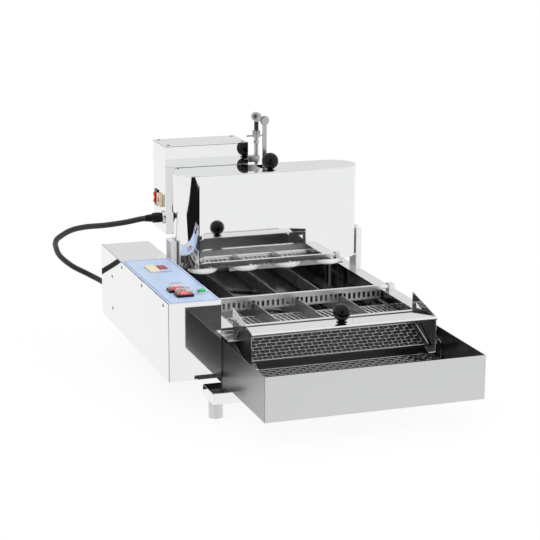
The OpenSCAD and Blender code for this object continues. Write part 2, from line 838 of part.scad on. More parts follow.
// A rocker on its pin, which lies along X at zero height, with a shallow dip between two raised edges
module rocker(w, len) {
    rw = rocker_size(w);
    rl = rocker_size(len);
    translate([-rocker_pin(w) / 2, 0, 0]) rod_x(rocker_pin_d / 2, rocker_pin(w));
    translate([-rw / 2, 0, 0]) along_x(rw) polygon([[-rl / 2 * rocker_edge_share, -rocker_deep],
        [rl / 2 * rocker_edge_share, -rocker_deep], [rl / 2 - rocker_gap, rocker_pin_d / 2],
        [rl / 2 - 2 * rocker_gap, switch_flange_h + rocker_rise],
        [0, switch_flange_h + rocker_rise * rocker_edge_share],
        [2 * rocker_gap - rl / 2, switch_flange_h + rocker_rise], [rocker_gap - rl / 2, rocker_pin_d / 2]]);
}

module at_switch(i) translate([switch_pos(i)[0], switch_pos(i)[1], panel_top]) children();

module switch_frames() color("black") place()
    for (i = [0, 1]) at_switch(i) switch_frame(switch_w, switch_len);

module power_rocker() color("red") place() at_switch(0) rocker(switch_w, switch_len);

module heat_rocker() color("red") place() at_switch(1) rocker(switch_w, switch_len);

// Clear caps over both panel rockers
module switch_caps() color([0.9, 0.9, 0.9, 0.4]) place() for (i = [0, 1]) at_switch(i) difference() {
    pad([0, 0], switch_w - 2 * cap_wall, switch_len - 2 * cap_wall, switch_flange_h, cap_rise);
    pad([0, 0], switch_w - 4 * cap_wall, switch_len - 4 * cap_wall, switch_flange_h - over,
        cap_rise - cap_wall + over);
}

module button_bezel() color("silver") place() translate([button_pos[0], button_pos[1], panel_top])
    rotate_extrude() difference() {
        union() {
            square([button_bezel_d / 2, button_bezel_h]);
            translate([0, -button_deep]) square([button_barrel_d / 2, button_deep]);
        }
        translate([-over, button_bezel_h - button_skirt_h - button_travel - fit_gap])
            square([over + button_d / 2 + fit_gap, button_deep]);
        translate([-over, button_stop - button_skirt_h - button_travel - fit_gap])
            square([over + button_skirt_d / 2 + fit_gap, button_skirt_h + button_travel + fit_gap]);
    }

// Green push button with a skirt that keeps it in its bezel
module start_button() color("limegreen") place() translate([button_pos[0], button_pos[1], panel_top]) {
    translate([0, 0, button_stop - fit_gap - button_skirt_h])
        cylinder(d = button_skirt_d, h = button_skirt_h);
    translate([0, 0, button_stop - fit_gap - button_skirt_h])
        cylinder(d = button_d, h = button_skirt_h + fit_gap + button_bezel_h + button_rise);
}

// Gearmotor for the combs on the control box's floor
module comb_gearmotor() color("dimgray") place() difference() {
    union() {
        translate([sprocket_x - fit_gap - gearbox_w, motor_y - gearbox_len / 2, control_z + sheet])
            cube([gearbox_w, gearbox_len, motor_z + gearbox_len / 2 - control_z - sheet]);
        translate([sprocket_x - fit_gap - gearbox_w - motor_len, motor_y, motor_z])
            rod_x(motor_d / 2, motor_len);
    }
    translate([sprocket_x - motor_shaft_len, motor_y, motor_z])
        rod_x(shaft_d / 2 + run_gap, motor_shaft_len + over);
}

// A sprocket with square-cut teeth, along X from zero
module sprocket(bore) difference() {
    union() {
        rod_x(sprocket_r, sprocket_w);
        for (i = [0:sprocket_teeth - 1])
            rotate([i * 360 / sprocket_teeth, 0, 0]) translate([(sprocket_w - chain_w) / 2, -tooth_w / 2, 0])
                cube([chain_w, tooth_w, sprocket_r + tooth_h]);
    }
    translate([-over, 0, 0]) rod_x(bore, sprocket_w + 2 * over);
}

module motor_sprocket() color("gray") place() translate([sprocket_x, motor_y, motor_z]) {
    sprocket(shaft_d / 4);
    translate([-motor_shaft_len, 0, 0]) rod_x(shaft_d / 2, motor_shaft_len + sprocket_w);
}

module flip_sprocket() color("gray") place()
    translate([sprocket_x, flip_y, comb_z]) sprocket(shaft_d / 2 + run_gap);

// Crank on the scoop's shaft, pointing down, with a roller at its end
module scoop_crank() color("gray") place() translate([sprocket_x - crank_t, scoop_y, scoop_z]) difference() {
    union() {
        rod_x(crank_hub_d / 2, crank_t);
        translate([0, -crank_w / 2, -crank_len]) cube([crank_t, crank_w, crank_len]);
        translate([0, 0, -crank_len]) rod_x(crank_w / 2, crank_t);
        translate([-crank_roller_w, 0, -crank_len]) rod_x(crank_roller_d / 2, crank_roller_w);
    }
    translate([-over, 0, 0]) rod_x(shaft_d / 2 + run_gap, crank_t + 2 * over);
}

// The chain's outline round the two sprockets
module chain_loop(r) hull() {
    translate([flip_y, comb_z]) circle(r, $fn = 32);
    translate([motor_y, motor_z]) circle(r, $fn = 32);
}

module drive_chain() color("darkgray") place()
    translate([sprocket_x + (sprocket_w - chain_w) / 2, 0, 0]) along_x(chain_w) difference() {
        chain_loop(sprocket_r + tooth_h + chain_gap + chain_t);
        chain_loop(sprocket_r + tooth_h + chain_gap);
    }

// Gland on the control box's back
module cable_gland() color("black") place() translate([gland_x, control_len, gland_z]) difference() {
    union() {
        rod_y(gland_nut_d / 2, gland_nut_len);
        translate([0, -gland_thread_len, 0]) rod_y(gland_thread_d / 2, gland_thread_len);
    }
    translate([0, -gland_thread_len - over, 0]) rod_y(cable_d / 4, gland_thread_len);
}

// Places of the head's fittings on its left face
head_switch_pos = [head_y + head_switch_y_share * head_depth, head_z + head_switch_z_share * head_h];
counter_pos = [head_y + counter_y_share * head_depth, head_switch_pos[1]];

// Turns a fitting made on a level panel to the head's left face
module on_head_side(pos) translate([head_x, pos[0], pos[1]]) rotate([0, -90, 0]) children();

// Head box shell, open at the top, with a turned-in flange there
module head_box() color("whitesmoke") place() difference() {
    translate([head_x, head_y, head_z]) cube([head_w, head_depth, head_h]);
    translate([head_x + sheet, head_y + sheet, head_z + sheet])
        cube([head_w - 2 * sheet, head_depth - 2 * sheet, head_h - 2 * sheet]);
    translate([head_x + flange, head_y + flange, head_z + sheet])
        cube([head_w - 2 * flange, head_depth - 2 * flange, head_h]);
    for (p = head_screws)
        translate([p[0], p[1], head_top - sheet - over])
            cylinder(r = screw_d / 2 + run_gap, h = sheet + 2 * over);
    on_head_side(head_switch_pos) pad([0, 0], head_switch_h - 2 * switch_lip + 2 * fit_gap,
        head_switch_w - 2 * switch_lip + 2 * fit_gap, -sheet - over, sheet + 2 * over);
    on_head_side(counter_pos) pad([0, 0], counter_h + 2 * fit_gap, counter_w + 2 * fit_gap, -sheet - over,
        sheet + 2 * over);
    translate([head_x - over, socket_y, socket_z]) rod_x(socket_barrel_d / 2 + run_gap, sheet + 2 * over);
    translate([head_right - sheet - over, lever_axis_y, lever_axis_z])
        rod_x(lever_shaft_d / 2 + fit_gap, sheet + 2 * over);
}

module head_top_cover() color("white") place() difference() {
    translate([head_x, head_y, head_top]) cube([head_w, head_depth, sheet]);
    for (p = head_screws)
        translate([p[0], p[1], head_top - over]) cylinder(r = screw_d / 2 + run_gap, h = sheet + 2 * over);
}

module head_switch_frame() color("black") place() on_head_side(head_switch_pos) rotate([0, 0, 90])
    switch_frame(head_switch_w, head_switch_h);

module head_rocker() color("red") place() on_head_side(head_switch_pos) rotate([0, 0, 90])
    rocker(head_switch_w, head_switch_h);

// Dose counter: a block through the head's side with a wider lip and a window
module counter_bezel() color("wheat") place() on_head_side(counter_pos) difference() {
    union() {
        pad([0, 0], counter_h, counter_w, -counter_deep, counter_deep);
        pad([0, 0], counter_h + 2 * counter_lip, counter_w + 2 * counter_lip, 0, counter_rise);
    }
    pad([0, 0], counter_window_share * counter_h + 2 * run_gap,
        counter_window_share * counter_w + 2 * run_gap, counter_rise / 2, counter_rise);
}

module counter_display() color("darkred") place() on_head_side(counter_pos)
    pad([0, 0], counter_window_share * counter_h, counter_window_share * counter_w, counter_rise / 2,
        counter_rise / 2);

module connector_socket() color("silver") place() translate([head_x, socket_y, socket_z]) {
    translate([-socket_flange_t, 0, 0]) rod_x(socket_flange_d / 2, socket_flange_t);
    rod_x(socket_barrel_d / 2, socket_barrel_len);
}

module connector_plug() color("black") place() translate([cable_start[0], socket_y, socket_z]) {
    rod_x(boot_d / 2, boot_len);
    translate([boot_len, 0, 0]) rod_x(plug_d / 2, plug_len);
}

// The cable's middle line: a smooth curve through its points
cable_points = concat([cable_start], cable_route, [cable_end]);
function cable_at(i) = cable_points[max(0, min(len(cable_points) - 1, i))];
function smooth(a, b, c, d, t) = 0.5 * (2 * b + (c - a) * t + (2 * a - 5 * b + 4 * c - d) * t * t
    + (3 * b - a - 3 * c + d) * t * t * t);
cable_line = concat(
    [for (i = [0:len(cable_points) - 2], k = [0:cable_steps - 1])
        smooth(cable_at(i - 1), cable_at(i), cable_at(i + 1), cable_at(i + 2), k / cable_steps)],
    [cable_end]);
cable_last = len(cable_line) - 1;
function unit(v) = v / norm(v);
function cable_dir(i) = i == 0 ? [-1, 0, 0] : i == cable_last ? [0, -1, 0]
    : unit(cable_line[i + 1] - cable_line[i - 1]);
function cable_side(i) = unit(cross(cable_dir(i), [0, 0, 1]));
function cable_up(i) = cross(cable_side(i), cable_dir(i));
cable_rings = [for (i = [0:cable_last], s = [0:cable_sides - 1])
    cable_line[i] + cable_d / 2 * (cos(s * 360 / cable_sides) * cable_side(i)
        + sin(s * 360 / cable_sides) * cable_up(i))];
cable_faces = concat(
    [[for (s = [0:cable_sides - 1]) s]],
    [for (i = [0:cable_last - 1], s = [0:cable_sides - 1])
        let (a = i * cable_sides + s, b = i * cable_sides + (s + 1) % cable_sides)
        [a, a + cable_sides, b + cable_sides, b]],
    [[for (s = [cable_sides - 1:-1:0]) cable_last * cable_sides + s]]);

module link_cable() color("black") place() polyhedron(cable_rings, cable_faces);

// Gearmotor for the plungers on the head box's floor
module head_gearmotor() color("dimgray") place() difference() {
    union() {
        translate([head_right - sheet - gear_w, head_back - sheet - gear_side - gear_len, head_z + sheet])
            cube([gear_w, gear_len, gear_h]);
        translate([head_right - sheet - gear_w - gear_motor_len, head_back - sheet - gear_side - gear_len / 2,
            head_z + sheet + gear_motor_d / 2]) rod_x(gear_motor_d / 2, gear_motor_len);
    }
    translate([head_right - lever_shaft_in, lever_axis_y, lever_axis_z])
        rod_x(lever_shaft_d / 2 + run_gap, lever_shaft_in + over);
}

// Lever on the gearmotor's shaft, tilted down, its round tip under the lift rod's collar
module lift_lever() color("gray") place() translate([0, lever_axis_y, lever_axis_z]) {
    translate([head_right - lever_shaft_in, 0, 0])
        rod_x(lever_shaft_d / 2, lever_shaft_in + lift_x - head_right + lever_t / 2 + 2 * hub_side);
    translate([lift_x - lever_t / 2 - hub_side, 0, 0]) rod_x(lever_hub_d / 2, lever_t + 2 * hub_side);
    translate([lift_x - lever_t / 2, 0, 0]) rotate([lever_tilt, 0, 0]) along_x(lever_t) {
        translate([-lever_len, -lever_tip_r]) square([lever_len, 2 * lever_tip_r]);
        translate([-lever_len, 0]) circle(lever_tip_r);
    }
}

// Bush on the head box's side that guides the lift rod
module rod_guide() color("silver") place() difference() {
    union() {
        translate([head_right, lift_y - guide_w / 2 + rod_gap / 4, guide_z])
            cube([lift_x - head_right, guide_w - rod_gap / 4, guide_h]);
        translate([lift_x, lift_y, guide_z]) cylinder(d = guide_w - rod_gap / 2, h = guide_h);
    }
    translate([lift_x, lift_y, guide_z - over]) cylinder(r = rod_d / 2 + run_gap, h = guide_h + 2 * over);
}

// Folded column between the deck and the head box
module head_column() color("lightgray") place() difference() {
    translate([head_x + column_side, head_y + column_inset, rim_z]) cube([column_w, column_depth, head_lift]);
    translate([head_x + column_side + sheet, head_y + column_inset + sheet, rim_z - over])
        cube([column_w - 2 * sheet, column_depth - 2 * sheet, head_lift - sheet + over]);
}

// Upright prism with round ends, on the hopper's middle
module stadium(shrink, z, h) translate([mid_x, hopper_y, z]) {
    r = hopper_r - shrink;
    reach = hopper_w / 2 - hopper_r;
    translate([-reach, -r, 0]) cube([2 * reach, 2 * r, h]);
    for (side = [-1, 1]) translate([side * reach, 0, 0]) cylinder(r = r, h = h);
}

module hopper() color("white") place() difference() {
    stadium(0, hopper_z, hopper_h);
    stadium(sheet, hopper_z + sheet, hopper_h);
    for (i = [0:lanes - 1])
        translate([lane_mid(i), hopper_y, hopper_z - over]) cylinder(d = nozzle_bore, h = sheet + 2 * over);
}

// Lid with a lip inside the hopper and a notch at the back for the drive bar
module hopper_lid() color("white") place() difference() {
    union() {
        stadium(0, hopper_top, sheet);
        difference() {
            stadium(sheet + fit_gap, hopper_top - lid_lip, lid_lip + sheet / 2);
            stadium(2 * sheet + fit_gap, hopper_top - lid_lip - over, lid_lip + over);
        }
    }
    translate([mid_x - lid_notch_w / 2, hopper_back - lid_notch_deep, hopper_top - lid_lip - over])
        cube([lid_notch_w, lid_notch_deep + over, lid_lip + sheet + 2 * over]);
}

module lid_knob() color("black") place()
    translate([mid_x, hopper_y - lid_knob_shift, lid_top]) ball_knob(lid_ball_d);

// Four round nozzles under the hopper's floor
module nozzles() color("whitesmoke") place() for (i = [0:lanes - 1])
    translate([lane_mid(i), hopper_y, hopper_z - nozzle_h]) rotate_extrude() difference() {
        union() {
            translate([0, nozzle_h / 2]) square([nozzle_d / 2, nozzle_h / 2]);
            square([nozzle_d / 2 - nozzle_h / 2, nozzle_h]);
            translate([nozzle_d / 2 - nozzle_h / 2, nozzle_h / 2]) circle(nozzle_h / 2);
        }
        translate([-nozzle_d, -over]) square([nozzle_d + nozzle_bore / 2, nozzle_h + 2 * over]);
    }

// Four plungers on one yoke
module plungers() color("silver") place() {
    disc_z = hopper_z - nozzle_h + plunger_rise;
    for (i = [0:lanes - 1]) translate([lane_mid(i), hopper_y, disc_z]) {
        cylinder(r = nozzle_bore / 2 - plunger_gap, h = plunger_disc_h);
        cylinder(d = plunger_rod_d, h = yoke_z + yoke_h / 2 - disc_z);
    }
    translate([lane_mid(0) - yoke_end, hopper_y - yoke_t / 2, yoke_z])
        cube([(lanes - 1) * lane_pitch + 2 * yoke_end, yoke_t, yoke_h]);
}

// Flat bar from the yoke up to the link pin
module drive_bar() color("silver") place() difference() {
    union() {
        translate([mid_x - drive_w / 2, drive_y, yoke_z]) cube([drive_w, bar_t, pin_z - yoke_z]);
        translate([mid_x, drive_y, pin_z]) rod_y(eye_d / 2, bar_t);
    }
    translate([mid_x, drive_y - over, pin_z]) rod_y(pin_d / 2 + run_gap, bar_t + 2 * over);
}

module link_pin() color("silver") place() translate([mid_x, drive_y, pin_z]) {
    translate([0, -pin_head_t, 0]) rod_y(pin_head_d / 2, pin_head_t);
    rod_y(pin_d / 2, lift_y + eye_len / 2 + pin_back - drive_y);
}

// Lift rod with an eye at the top and a collar that the lever lifts
module lift_rod() color("silver") place() difference() {
    union() {
        translate([lift_x, lift_y, collar_z - collar_h]) cylinder(d = rod_d, h = pin_z - collar_z + collar_h);
        translate([lift_x, lift_y, collar_z]) cylinder(d = collar_d, h = collar_h);
        translate([lift_x - lever_t / 2 - collar_side, lift_y, collar_z])
            cube([lever_t + 2 * collar_side, rod_d / 2 + lever_gap + lever_tip_r, collar_h]);
        translate([lift_x, lift_y - eye_len / 2, pin_z]) rod_y(eye_d / 2, eye_len);
        translate([lift_x, lift_y, nut_z - lock_h - lock_h]) cylinder(d = lock_d, h = lock_h, $fn = 6);
    }
    translate([lift_x, lift_y - eye_len, pin_z]) rod_y(pin_d / 2 + run_gap, 2 * eye_len);
}

// Knurled nut with a thin wing handle, turned by hand to set the dose
module stroke_nut() color("silver") place() translate([lift_x, lift_y, nut_z]) difference() {
    union() {
        cylinder(d = nut_d, h = nut_h);
        translate([-wing_len / 2, 0, wing_d]) rod_x(wing_d / 2, wing_len);
    }
    translate([0, 0, -over]) cylinder(r = rod_d / 2 + run_gap, h = nut_h + 2 * over);
    for (i = [0:knurls - 1])
        rotate([0, 0, i * 360 / knurls]) translate([nut_d / 2 - knurl_deep, -knurl_w / 2, 2 * wing_d])
            cube([knurl_deep + over, knurl_w, nut_h]);
}

// Channel posts on the side rims that carry the hopper's ends on small shelves, a nut on top of each,
// cleared round the outer nozzles
module hopper_posts() color("gainsboro") place() for (side = [-1, 1])
    translate([mid_x, hopper_y, 0]) mirror([side < 0 ? 1 : 0, 0, 0]) {
        post_x = hopper_w / 2 + fit_gap;
        post_h = hopper_lift + post_rise;
        difference() {
            union() {
                difference() {
                    translate([post_x, -post_len / 2, rim_z]) cube([post_deep, post_len, post_h]);
                    translate([post_x + post_t, post_t - post_len / 2, rim_z - over])
                        cube([post_deep, post_len - 2 * post_t, post_h - post_t + over]);
                }
                translate([post_x - post_shelf, -post_len / 2, hopper_z - post_shelf_t])
                    cube([post_shelf + post_t, post_len, post_shelf_t]);
            }
            translate([lane_mid(lanes - 1) - mid_x, 0, hopper_z - nozzle_h - post_clear])
                cylinder(r = nozzle_d / 2 + post_clear, h = nozzle_h + post_clear);
        }
        translate([post_x + post_deep / 2, 0, rim_z + post_h])
            cylinder(d = post_nut_d, h = post_nut_h, $fn = 6);
    }

foot_bars();
base_rails();
feet();
tank_casing();
oil_tank();
heating_element();
temperature_probe();
lane_divider_1();
lane_divider_2();
lane_divider_3();
flip_comb();
exit_scoop();
comb_bearings();
chute_ledges();
exit_chute();
chute_mesh();
chute_knob();
tray();
rack_floor();
control_box();
control_side_cover();
cover_screws();
panel_overlay();
controller_bezel();
controller_display();
switch_frames();
power_rocker();
heat_rocker();
switch_caps();
button_bezel();
start_button();
comb_gearmotor();
motor_sprocket();
flip_sprocket();
scoop_crank();
drive_chain();
cable_gland();
head_box();
head_top_cover();
head_switch_frame();
head_rocker();
counter_bezel();
counter_display();
connector_socket();
connector_plug();
link_cable();
head_gearmotor();
lift_lever();
rod_guide();
head_column();
hopper();
hopper_lid();
lid_knob();
nozzles();
plungers();
drive_bar();
link_pin();
lift_rod();
stroke_nut();
hopper_posts();
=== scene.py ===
"""Looks of the countertop donut fryer: folded sheet steel, woven wire, knobs, switches, linkage and cable."""

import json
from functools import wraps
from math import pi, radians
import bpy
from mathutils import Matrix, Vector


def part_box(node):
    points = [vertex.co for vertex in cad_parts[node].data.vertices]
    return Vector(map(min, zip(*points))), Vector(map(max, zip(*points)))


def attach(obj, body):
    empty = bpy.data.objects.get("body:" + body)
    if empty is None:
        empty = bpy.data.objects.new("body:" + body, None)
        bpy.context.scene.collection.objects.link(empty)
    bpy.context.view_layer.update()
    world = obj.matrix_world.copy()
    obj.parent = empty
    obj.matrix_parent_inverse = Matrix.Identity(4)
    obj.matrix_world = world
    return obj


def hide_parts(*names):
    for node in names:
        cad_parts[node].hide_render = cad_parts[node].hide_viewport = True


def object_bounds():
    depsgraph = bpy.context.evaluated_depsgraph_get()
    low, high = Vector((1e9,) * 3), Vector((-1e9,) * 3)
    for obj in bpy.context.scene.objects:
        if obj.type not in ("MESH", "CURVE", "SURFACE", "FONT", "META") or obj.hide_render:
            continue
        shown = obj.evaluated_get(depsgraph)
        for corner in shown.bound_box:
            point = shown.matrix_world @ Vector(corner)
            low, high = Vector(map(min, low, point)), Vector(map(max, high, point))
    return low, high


bl_info = {
    "name": "Donut fryer",
    "version": (1, 0, 0),
    "blender": (4, 5, 0),
    "location": "View3D > Sidebar > Fryer",
    "description": "Dresses the donut fryer's frame with sheet metal, wire mesh, knobs, switches and cable",
    "category": "Object",
}

import bmesh
import bpy
import numpy as np
from bpy.props import FloatProperty, FloatVectorProperty, IntProperty, PointerProperty

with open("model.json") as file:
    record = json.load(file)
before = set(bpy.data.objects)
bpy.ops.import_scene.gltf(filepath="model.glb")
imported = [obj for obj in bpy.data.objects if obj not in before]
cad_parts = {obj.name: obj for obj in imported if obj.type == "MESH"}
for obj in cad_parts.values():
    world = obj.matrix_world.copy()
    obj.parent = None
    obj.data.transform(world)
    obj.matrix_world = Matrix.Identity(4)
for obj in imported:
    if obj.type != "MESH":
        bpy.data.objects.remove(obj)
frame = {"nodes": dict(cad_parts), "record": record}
CAD_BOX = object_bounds()
RECORD = frame["record"]
BODY_OF = {node: body for body, nodes in RECORD["behaviour"]["bodies"].items() for node in nodes}
SLOT_OF = {part["node"]: part["material_slot"] for part in RECORD["subparts"]}
MM = 0.001

# Points nearer than this, in metres, are merged: on a new surface and on a copy of a CAD node
MERGE_NEW, MERGE_CAD = 2e-6, 1e-6

# Angles between faces: sharp on a new surface, sharp on a CAD node, rounded there, and flat there
SHARP_NEW, SHARP_CAD, ROUNDED, FLAT = radians(40), radians(30), radians(35), radians(0.3)

# The cable's route in the frame, in metres, from the plug's boot to the gland
CABLE_ROUTE = [
    (-0.1739, 0.2855, 0.264), (-0.1859, 0.2855, 0.263), (-0.1999, 0.288, 0.2602), (-0.2159, 0.2925, 0.257),
    (-0.2509, 0.3025, 0.252), (-0.2859, 0.3175, 0.248), (-0.3119, 0.3345, 0.239), (-0.3309, 0.3575, 0.221),
    (-0.3339, 0.3705, 0.21), (-0.3319, 0.3825, 0.199), (-0.3199, 0.4025, 0.174), (-0.2919, 0.4205, 0.147),
    (-0.2599, 0.4265, 0.127), (-0.2379, 0.4145, 0.115), (-0.2279, 0.3925, 0.11), (-0.2279, 0.3705, 0.11)]


class FryerSizes(bpy.types.PropertyGroup):
    """Sizes of the pieces that dress the frame."""

    edge: FloatProperty(name="Sheet edge", description="Rounding of a sheet's edges",
                        default=0.6 * MM, unit="LENGTH")
    fine_edge: FloatProperty(name="Fine edge", description="Rounding of small pieces' edges",
                             default=0.35 * MM, unit="LENGTH")
    soft_edge: FloatProperty(name="Soft edge", description="Rounding of the push button's edge",
                             default=1.1 * MM, unit="LENGTH")
    wire: FloatProperty(name="Wire", description="Diameter of a mesh wire",
                        default=1.2 * MM, unit="LENGTH")
    rim_wire: FloatProperty(name="Rim wire", description="Diameter of the wire round a mesh",
                            default=3.0 * MM, unit="LENGTH")
    mesh_across: FloatProperty(name="Mesh pitch across", description="Distance of wires, left to right",
                               default=9.2 * MM, unit="LENGTH")
    mesh_along: FloatProperty(name="Mesh pitch along", description="Distance of wires, front to back",
                              default=9.0 * MM, unit="LENGTH")
    # Painted shade: thickness of the dark strips laid in the gaps round the covers
    bead: FloatProperty(name="Seam shade", description="Thickness of a sealing bead",
                        default=1.2 * MM, unit="LENGTH")
    cable: FloatProperty(name="Cable", description="Diameter of the cable",
                         default=11 * MM, unit="LENGTH")
    thread_pitch: FloatProperty(name="Thread pitch", description="Pitch of the lift rod's thread",
                                default=1.6 * MM, unit="LENGTH")
    round_steps: IntProperty(name="Round steps", description="Points round a turned piece",
                             default=48, min=12)


class FryerColours(bpy.types.PropertyGroup):
    """Colours of the finishes, linear."""

    polished: FloatVectorProperty(name="Polished steel", description="Mirror-polished sheet",
                                  subtype="COLOR", default=(0.82, 0.825, 0.83))
    satin: FloatVectorProperty(name="Satin steel", description="Brushed sheet",
                               subtype="COLOR", default=(0.63, 0.635, 0.64))
    # Painted shade: the tank's colour below its rim
    tank: FloatVectorProperty(name="Tank inside", description="Steel below the rim, darkened by hot oil",
                              subtype="COLOR", default=(0.34, 0.34, 0.345))
    # Divider faces, below the painted highlight on their top edge
    divider: FloatVectorProperty(name="Divider", description="Lane dividers below their top edge",
                                 subtype="COLOR", default=(0.72, 0.72, 0.73))
    # Painted shade: the dark colour of the tray's inside, the chute's cheeks and the casing's front
    filmed: FloatVectorProperty(name="Painted shade", description="Tray inside, chute cheeks and casing front",
                                subtype="COLOR", default=(0.22, 0.22, 0.225))
    # Painted shade on the tray's outer side faces
    tray_side: FloatVectorProperty(name="Tray sides", description="Outer side faces of the tray",
                                   subtype="COLOR", default=(0.37, 0.37, 0.375))
    scoop: FloatVectorProperty(name="Scoop steel", description="Slotted plates of the exit scoop",
                               subtype="COLOR", default=(0.8, 0.8, 0.805))
    comb: FloatVectorProperty(name="Comb steel", description="Flip comb",
                              subtype="COLOR", default=(0.88, 0.88, 0.87))
    white: FloatVectorProperty(name="White plastic", description="Nozzles",
                               subtype="COLOR", default=(0.88, 0.88, 0.87))
    linkage: FloatVectorProperty(name="Linkage steel", description="Turned pieces of the lift linkage",
                                 subtype="COLOR", default=(0.45, 0.45, 0.455))
    wire: FloatVectorProperty(name="Wire steel", description="Woven wire",
                              subtype="COLOR", default=(0.55, 0.55, 0.555))
    screw: FloatVectorProperty(name="Screw steel", description="Screw heads",
                               subtype="COLOR", default=(0.3, 0.3, 0.31))
    # Also the painted shadow of the hopper on the tank's rear rim
    dark: FloatVectorProperty(name="Dark steel", description="Oxidised steel",
                              subtype="COLOR", default=(0.09, 0.09, 0.095))
    chrome: FloatVectorProperty(name="Chrome", description="Button bezel and connector socket",
                                subtype="COLOR", default=(0.85, 0.85, 0.85))
    paint: FloatVectorProperty(name="Motor paint", description="Matt paint of the gearmotors",
                               subtype="COLOR", default=(0.04, 0.042, 0.045))
    black: FloatVectorProperty(name="Black plastic", description="Polished knobs and switch frames",
                               subtype="COLOR", default=(0.003, 0.003, 0.0035))
    rubber: FloatVectorProperty(name="Cable sheath", description="Black rubber",
                                subtype="COLOR", default=(0.012, 0.012, 0.013))
    red: FloatVectorProperty(name="Rocker red", description="Rockers",
                             subtype="COLOR", default=(0.75, 0.016, 0.014))
    green: FloatVectorProperty(name="Button green", description="Push button",
                               subtype="COLOR", default=(0.02, 0.58, 0.13))
    clear: FloatVectorProperty(name="Clear plastic", description="Caps over the rockers",
                               subtype="COLOR", default=(0.97, 0.97, 0.97))
    beige: FloatVectorProperty(name="Beige plastic", description="Controller and counter",
                               subtype="COLOR", default=(0.72, 0.62, 0.44))
    window: FloatVectorProperty(name="Display window", description="Dark red windows",
                                subtype="COLOR", default=(0.3, 0.012, 0.01))
    panel: FloatVectorProperty(name="Panel blue", description="Printed panel",
                               subtype="COLOR", default=(0.42, 0.53, 0.72))
    panel_line: FloatVectorProperty(name="Panel line", description="Line round the printed panel",
                                    subtype="COLOR", default=(0.06, 0.1, 0.33))


def sizes():
    """The sizes in the scene."""
    return bpy.context.scene.fryer_sizes


def colours():
    """The colours in the scene."""
    return bpy.context.scene.fryer_colours


# Finishes

def once(make):
    """Lets a function make its finish at the first call and find it by the function's name after that."""
    @wraps(make)
    def found():
        return bpy.data.materials.get("dress_" + make.__name__) or make()
    return found


def wire_up(tree, source, out, target, into):
    """Links one socket to another by name."""
    tree.links.new(source.outputs[out], target.inputs[into])


def colour_by(tree, share, first, second):
    """Colours a finish by a share: the first colour at 0, the second at 1. A colour is three numbers or a
    socket."""
    blend = tree.nodes.new("ShaderNodeMix")
    blend.data_type = "RGBA"
    tree.links.new(share, blend.inputs["Factor"])
    for side, colour in (("A", first), ("B", second)):
        if isinstance(colour, bpy.types.NodeSocket):
            tree.links.new(colour, blend.inputs[side])
        else:
            blend.inputs[side].default_value = (*colour, 1.0)
    tree.links.new(blend.outputs[2], tree.nodes["Principled BSDF"].inputs["Base Color"])


def surface(name, colour, metallic, roughness, spread, grain=40.0, bump=0.0, tint=0.0, **sockets):
    """A principled finish. Noise on Object coordinates moves the roughness by spread, the colour by tint and
    the surface by bump, in metres. The grain is how fine the noise is, in each direction or in all three."""
    finish = bpy.data.materials.new("dress_" + name)
    finish.use_nodes = True
    tree = finish.node_tree
    shader = tree.nodes["Principled BSDF"]
    shader.inputs["Base Color"].default_value = (*colour, 1.0)
    shader.inputs["Metallic"].default_value = metallic
    for socket, value in sockets.items():
        shader.inputs[socket.replace("_", " ")].default_value = value
    place = tree.nodes.new("ShaderNodeTexCoord")
    stretch = tree.nodes.new("ShaderNodeMapping")
    stretch.inputs["Scale"].default_value = np.broadcast_to(grain, 3).tolist()
    noise = tree.nodes.new("ShaderNodeTexNoise")
    noise.inputs["Scale"].default_value = 1.0
    noise.inputs["Detail"].default_value = 4.0
    wire_up(tree, place, "Object", stretch, "Vector")
    wire_up(tree, stretch, "Vector", noise, "Vector")
    span = tree.nodes.new("ShaderNodeMapRange")
    span.inputs["To Min"].default_value = max(0.0, roughness - spread)
    span.inputs["To Max"].default_value = roughness + spread
    wire_up(tree, noise, "Fac", span, "Value")
    wire_up(tree, span, "Result", shader, "Roughness")
    if tint:
        darker = [c * (1 - tint) for c in colour]
        lighter = [min(1.0, c * (1 + tint)) for c in colour]
        colour_by(tree, noise.outputs["Fac"], darker, lighter)
    if bump:
        relief = tree.nodes.new("ShaderNodeBump")
        relief.inputs["Strength"].default_value = 1.0
        relief.inputs["Distance"].default_value = bump
        wire_up(tree, noise, "Fac", relief, "Height")
        wire_up(tree, relief, "Normal", shader, "Normal")
    return finish


def calc(tree, operation, first, second=0.0):
    """One sum in a finish, of sockets or plain numbers."""
    node = tree.nodes.new("ShaderNodeMath")
    node.operation = operation
    for socket, value in zip(node.inputs, (first, second)):
        if isinstance(value, float):
            socket.default_value = value
        else:
            tree.links.new(value, socket)
    return node.outputs["Value"]


def axis_of(tree, axis):
    """One of the Object coordinates."""
    place = tree.nodes.new("ShaderNodeTexCoord")
    parts = tree.nodes.new("ShaderNodeSeparateXYZ")
    wire_up(tree, place, "Object", parts, "Vector")
    return parts.outputs[axis]


def past(tree, axis, level):
    """1 where an Object coordinate is greater than a level, 0 elsewhere."""
    return calc(tree, "GREATER_THAN", axis_of(tree, axis), level)


def short_of(tree, axis, level):
    """1 where an Object coordinate is less than a level, 0 elsewhere."""
    return calc(tree, "LESS_THAN", axis_of(tree, axis), level)


def both(tree, first, second):
    """1 where two shares are 1, 0 elsewhere."""
    return calc(tree, "MULTIPLY", first, second)


def to_edge(tree, low, high):
    """Distance to the nearest of a box's four upright sides, less than 0 outside the box."""
    x, y = axis_of(tree, "X"), axis_of(tree, "Y")
    across = calc(tree, "MINIMUM", calc(tree, "SUBTRACT", x, low.x), calc(tree, "SUBTRACT", high.x, x))
    along = calc(tree, "MINIMUM", calc(tree, "SUBTRACT", y, low.y), calc(tree, "SUBTRACT", high.y, y))
    return calc(tree, "MINIMUM", across, along)


def two_colours(finish, share, first, second):
    """Gives a finish two colours by a share: the first at 0, the second at 1."""
    colour_by(finish.node_tree, share, first, second)
    return finish


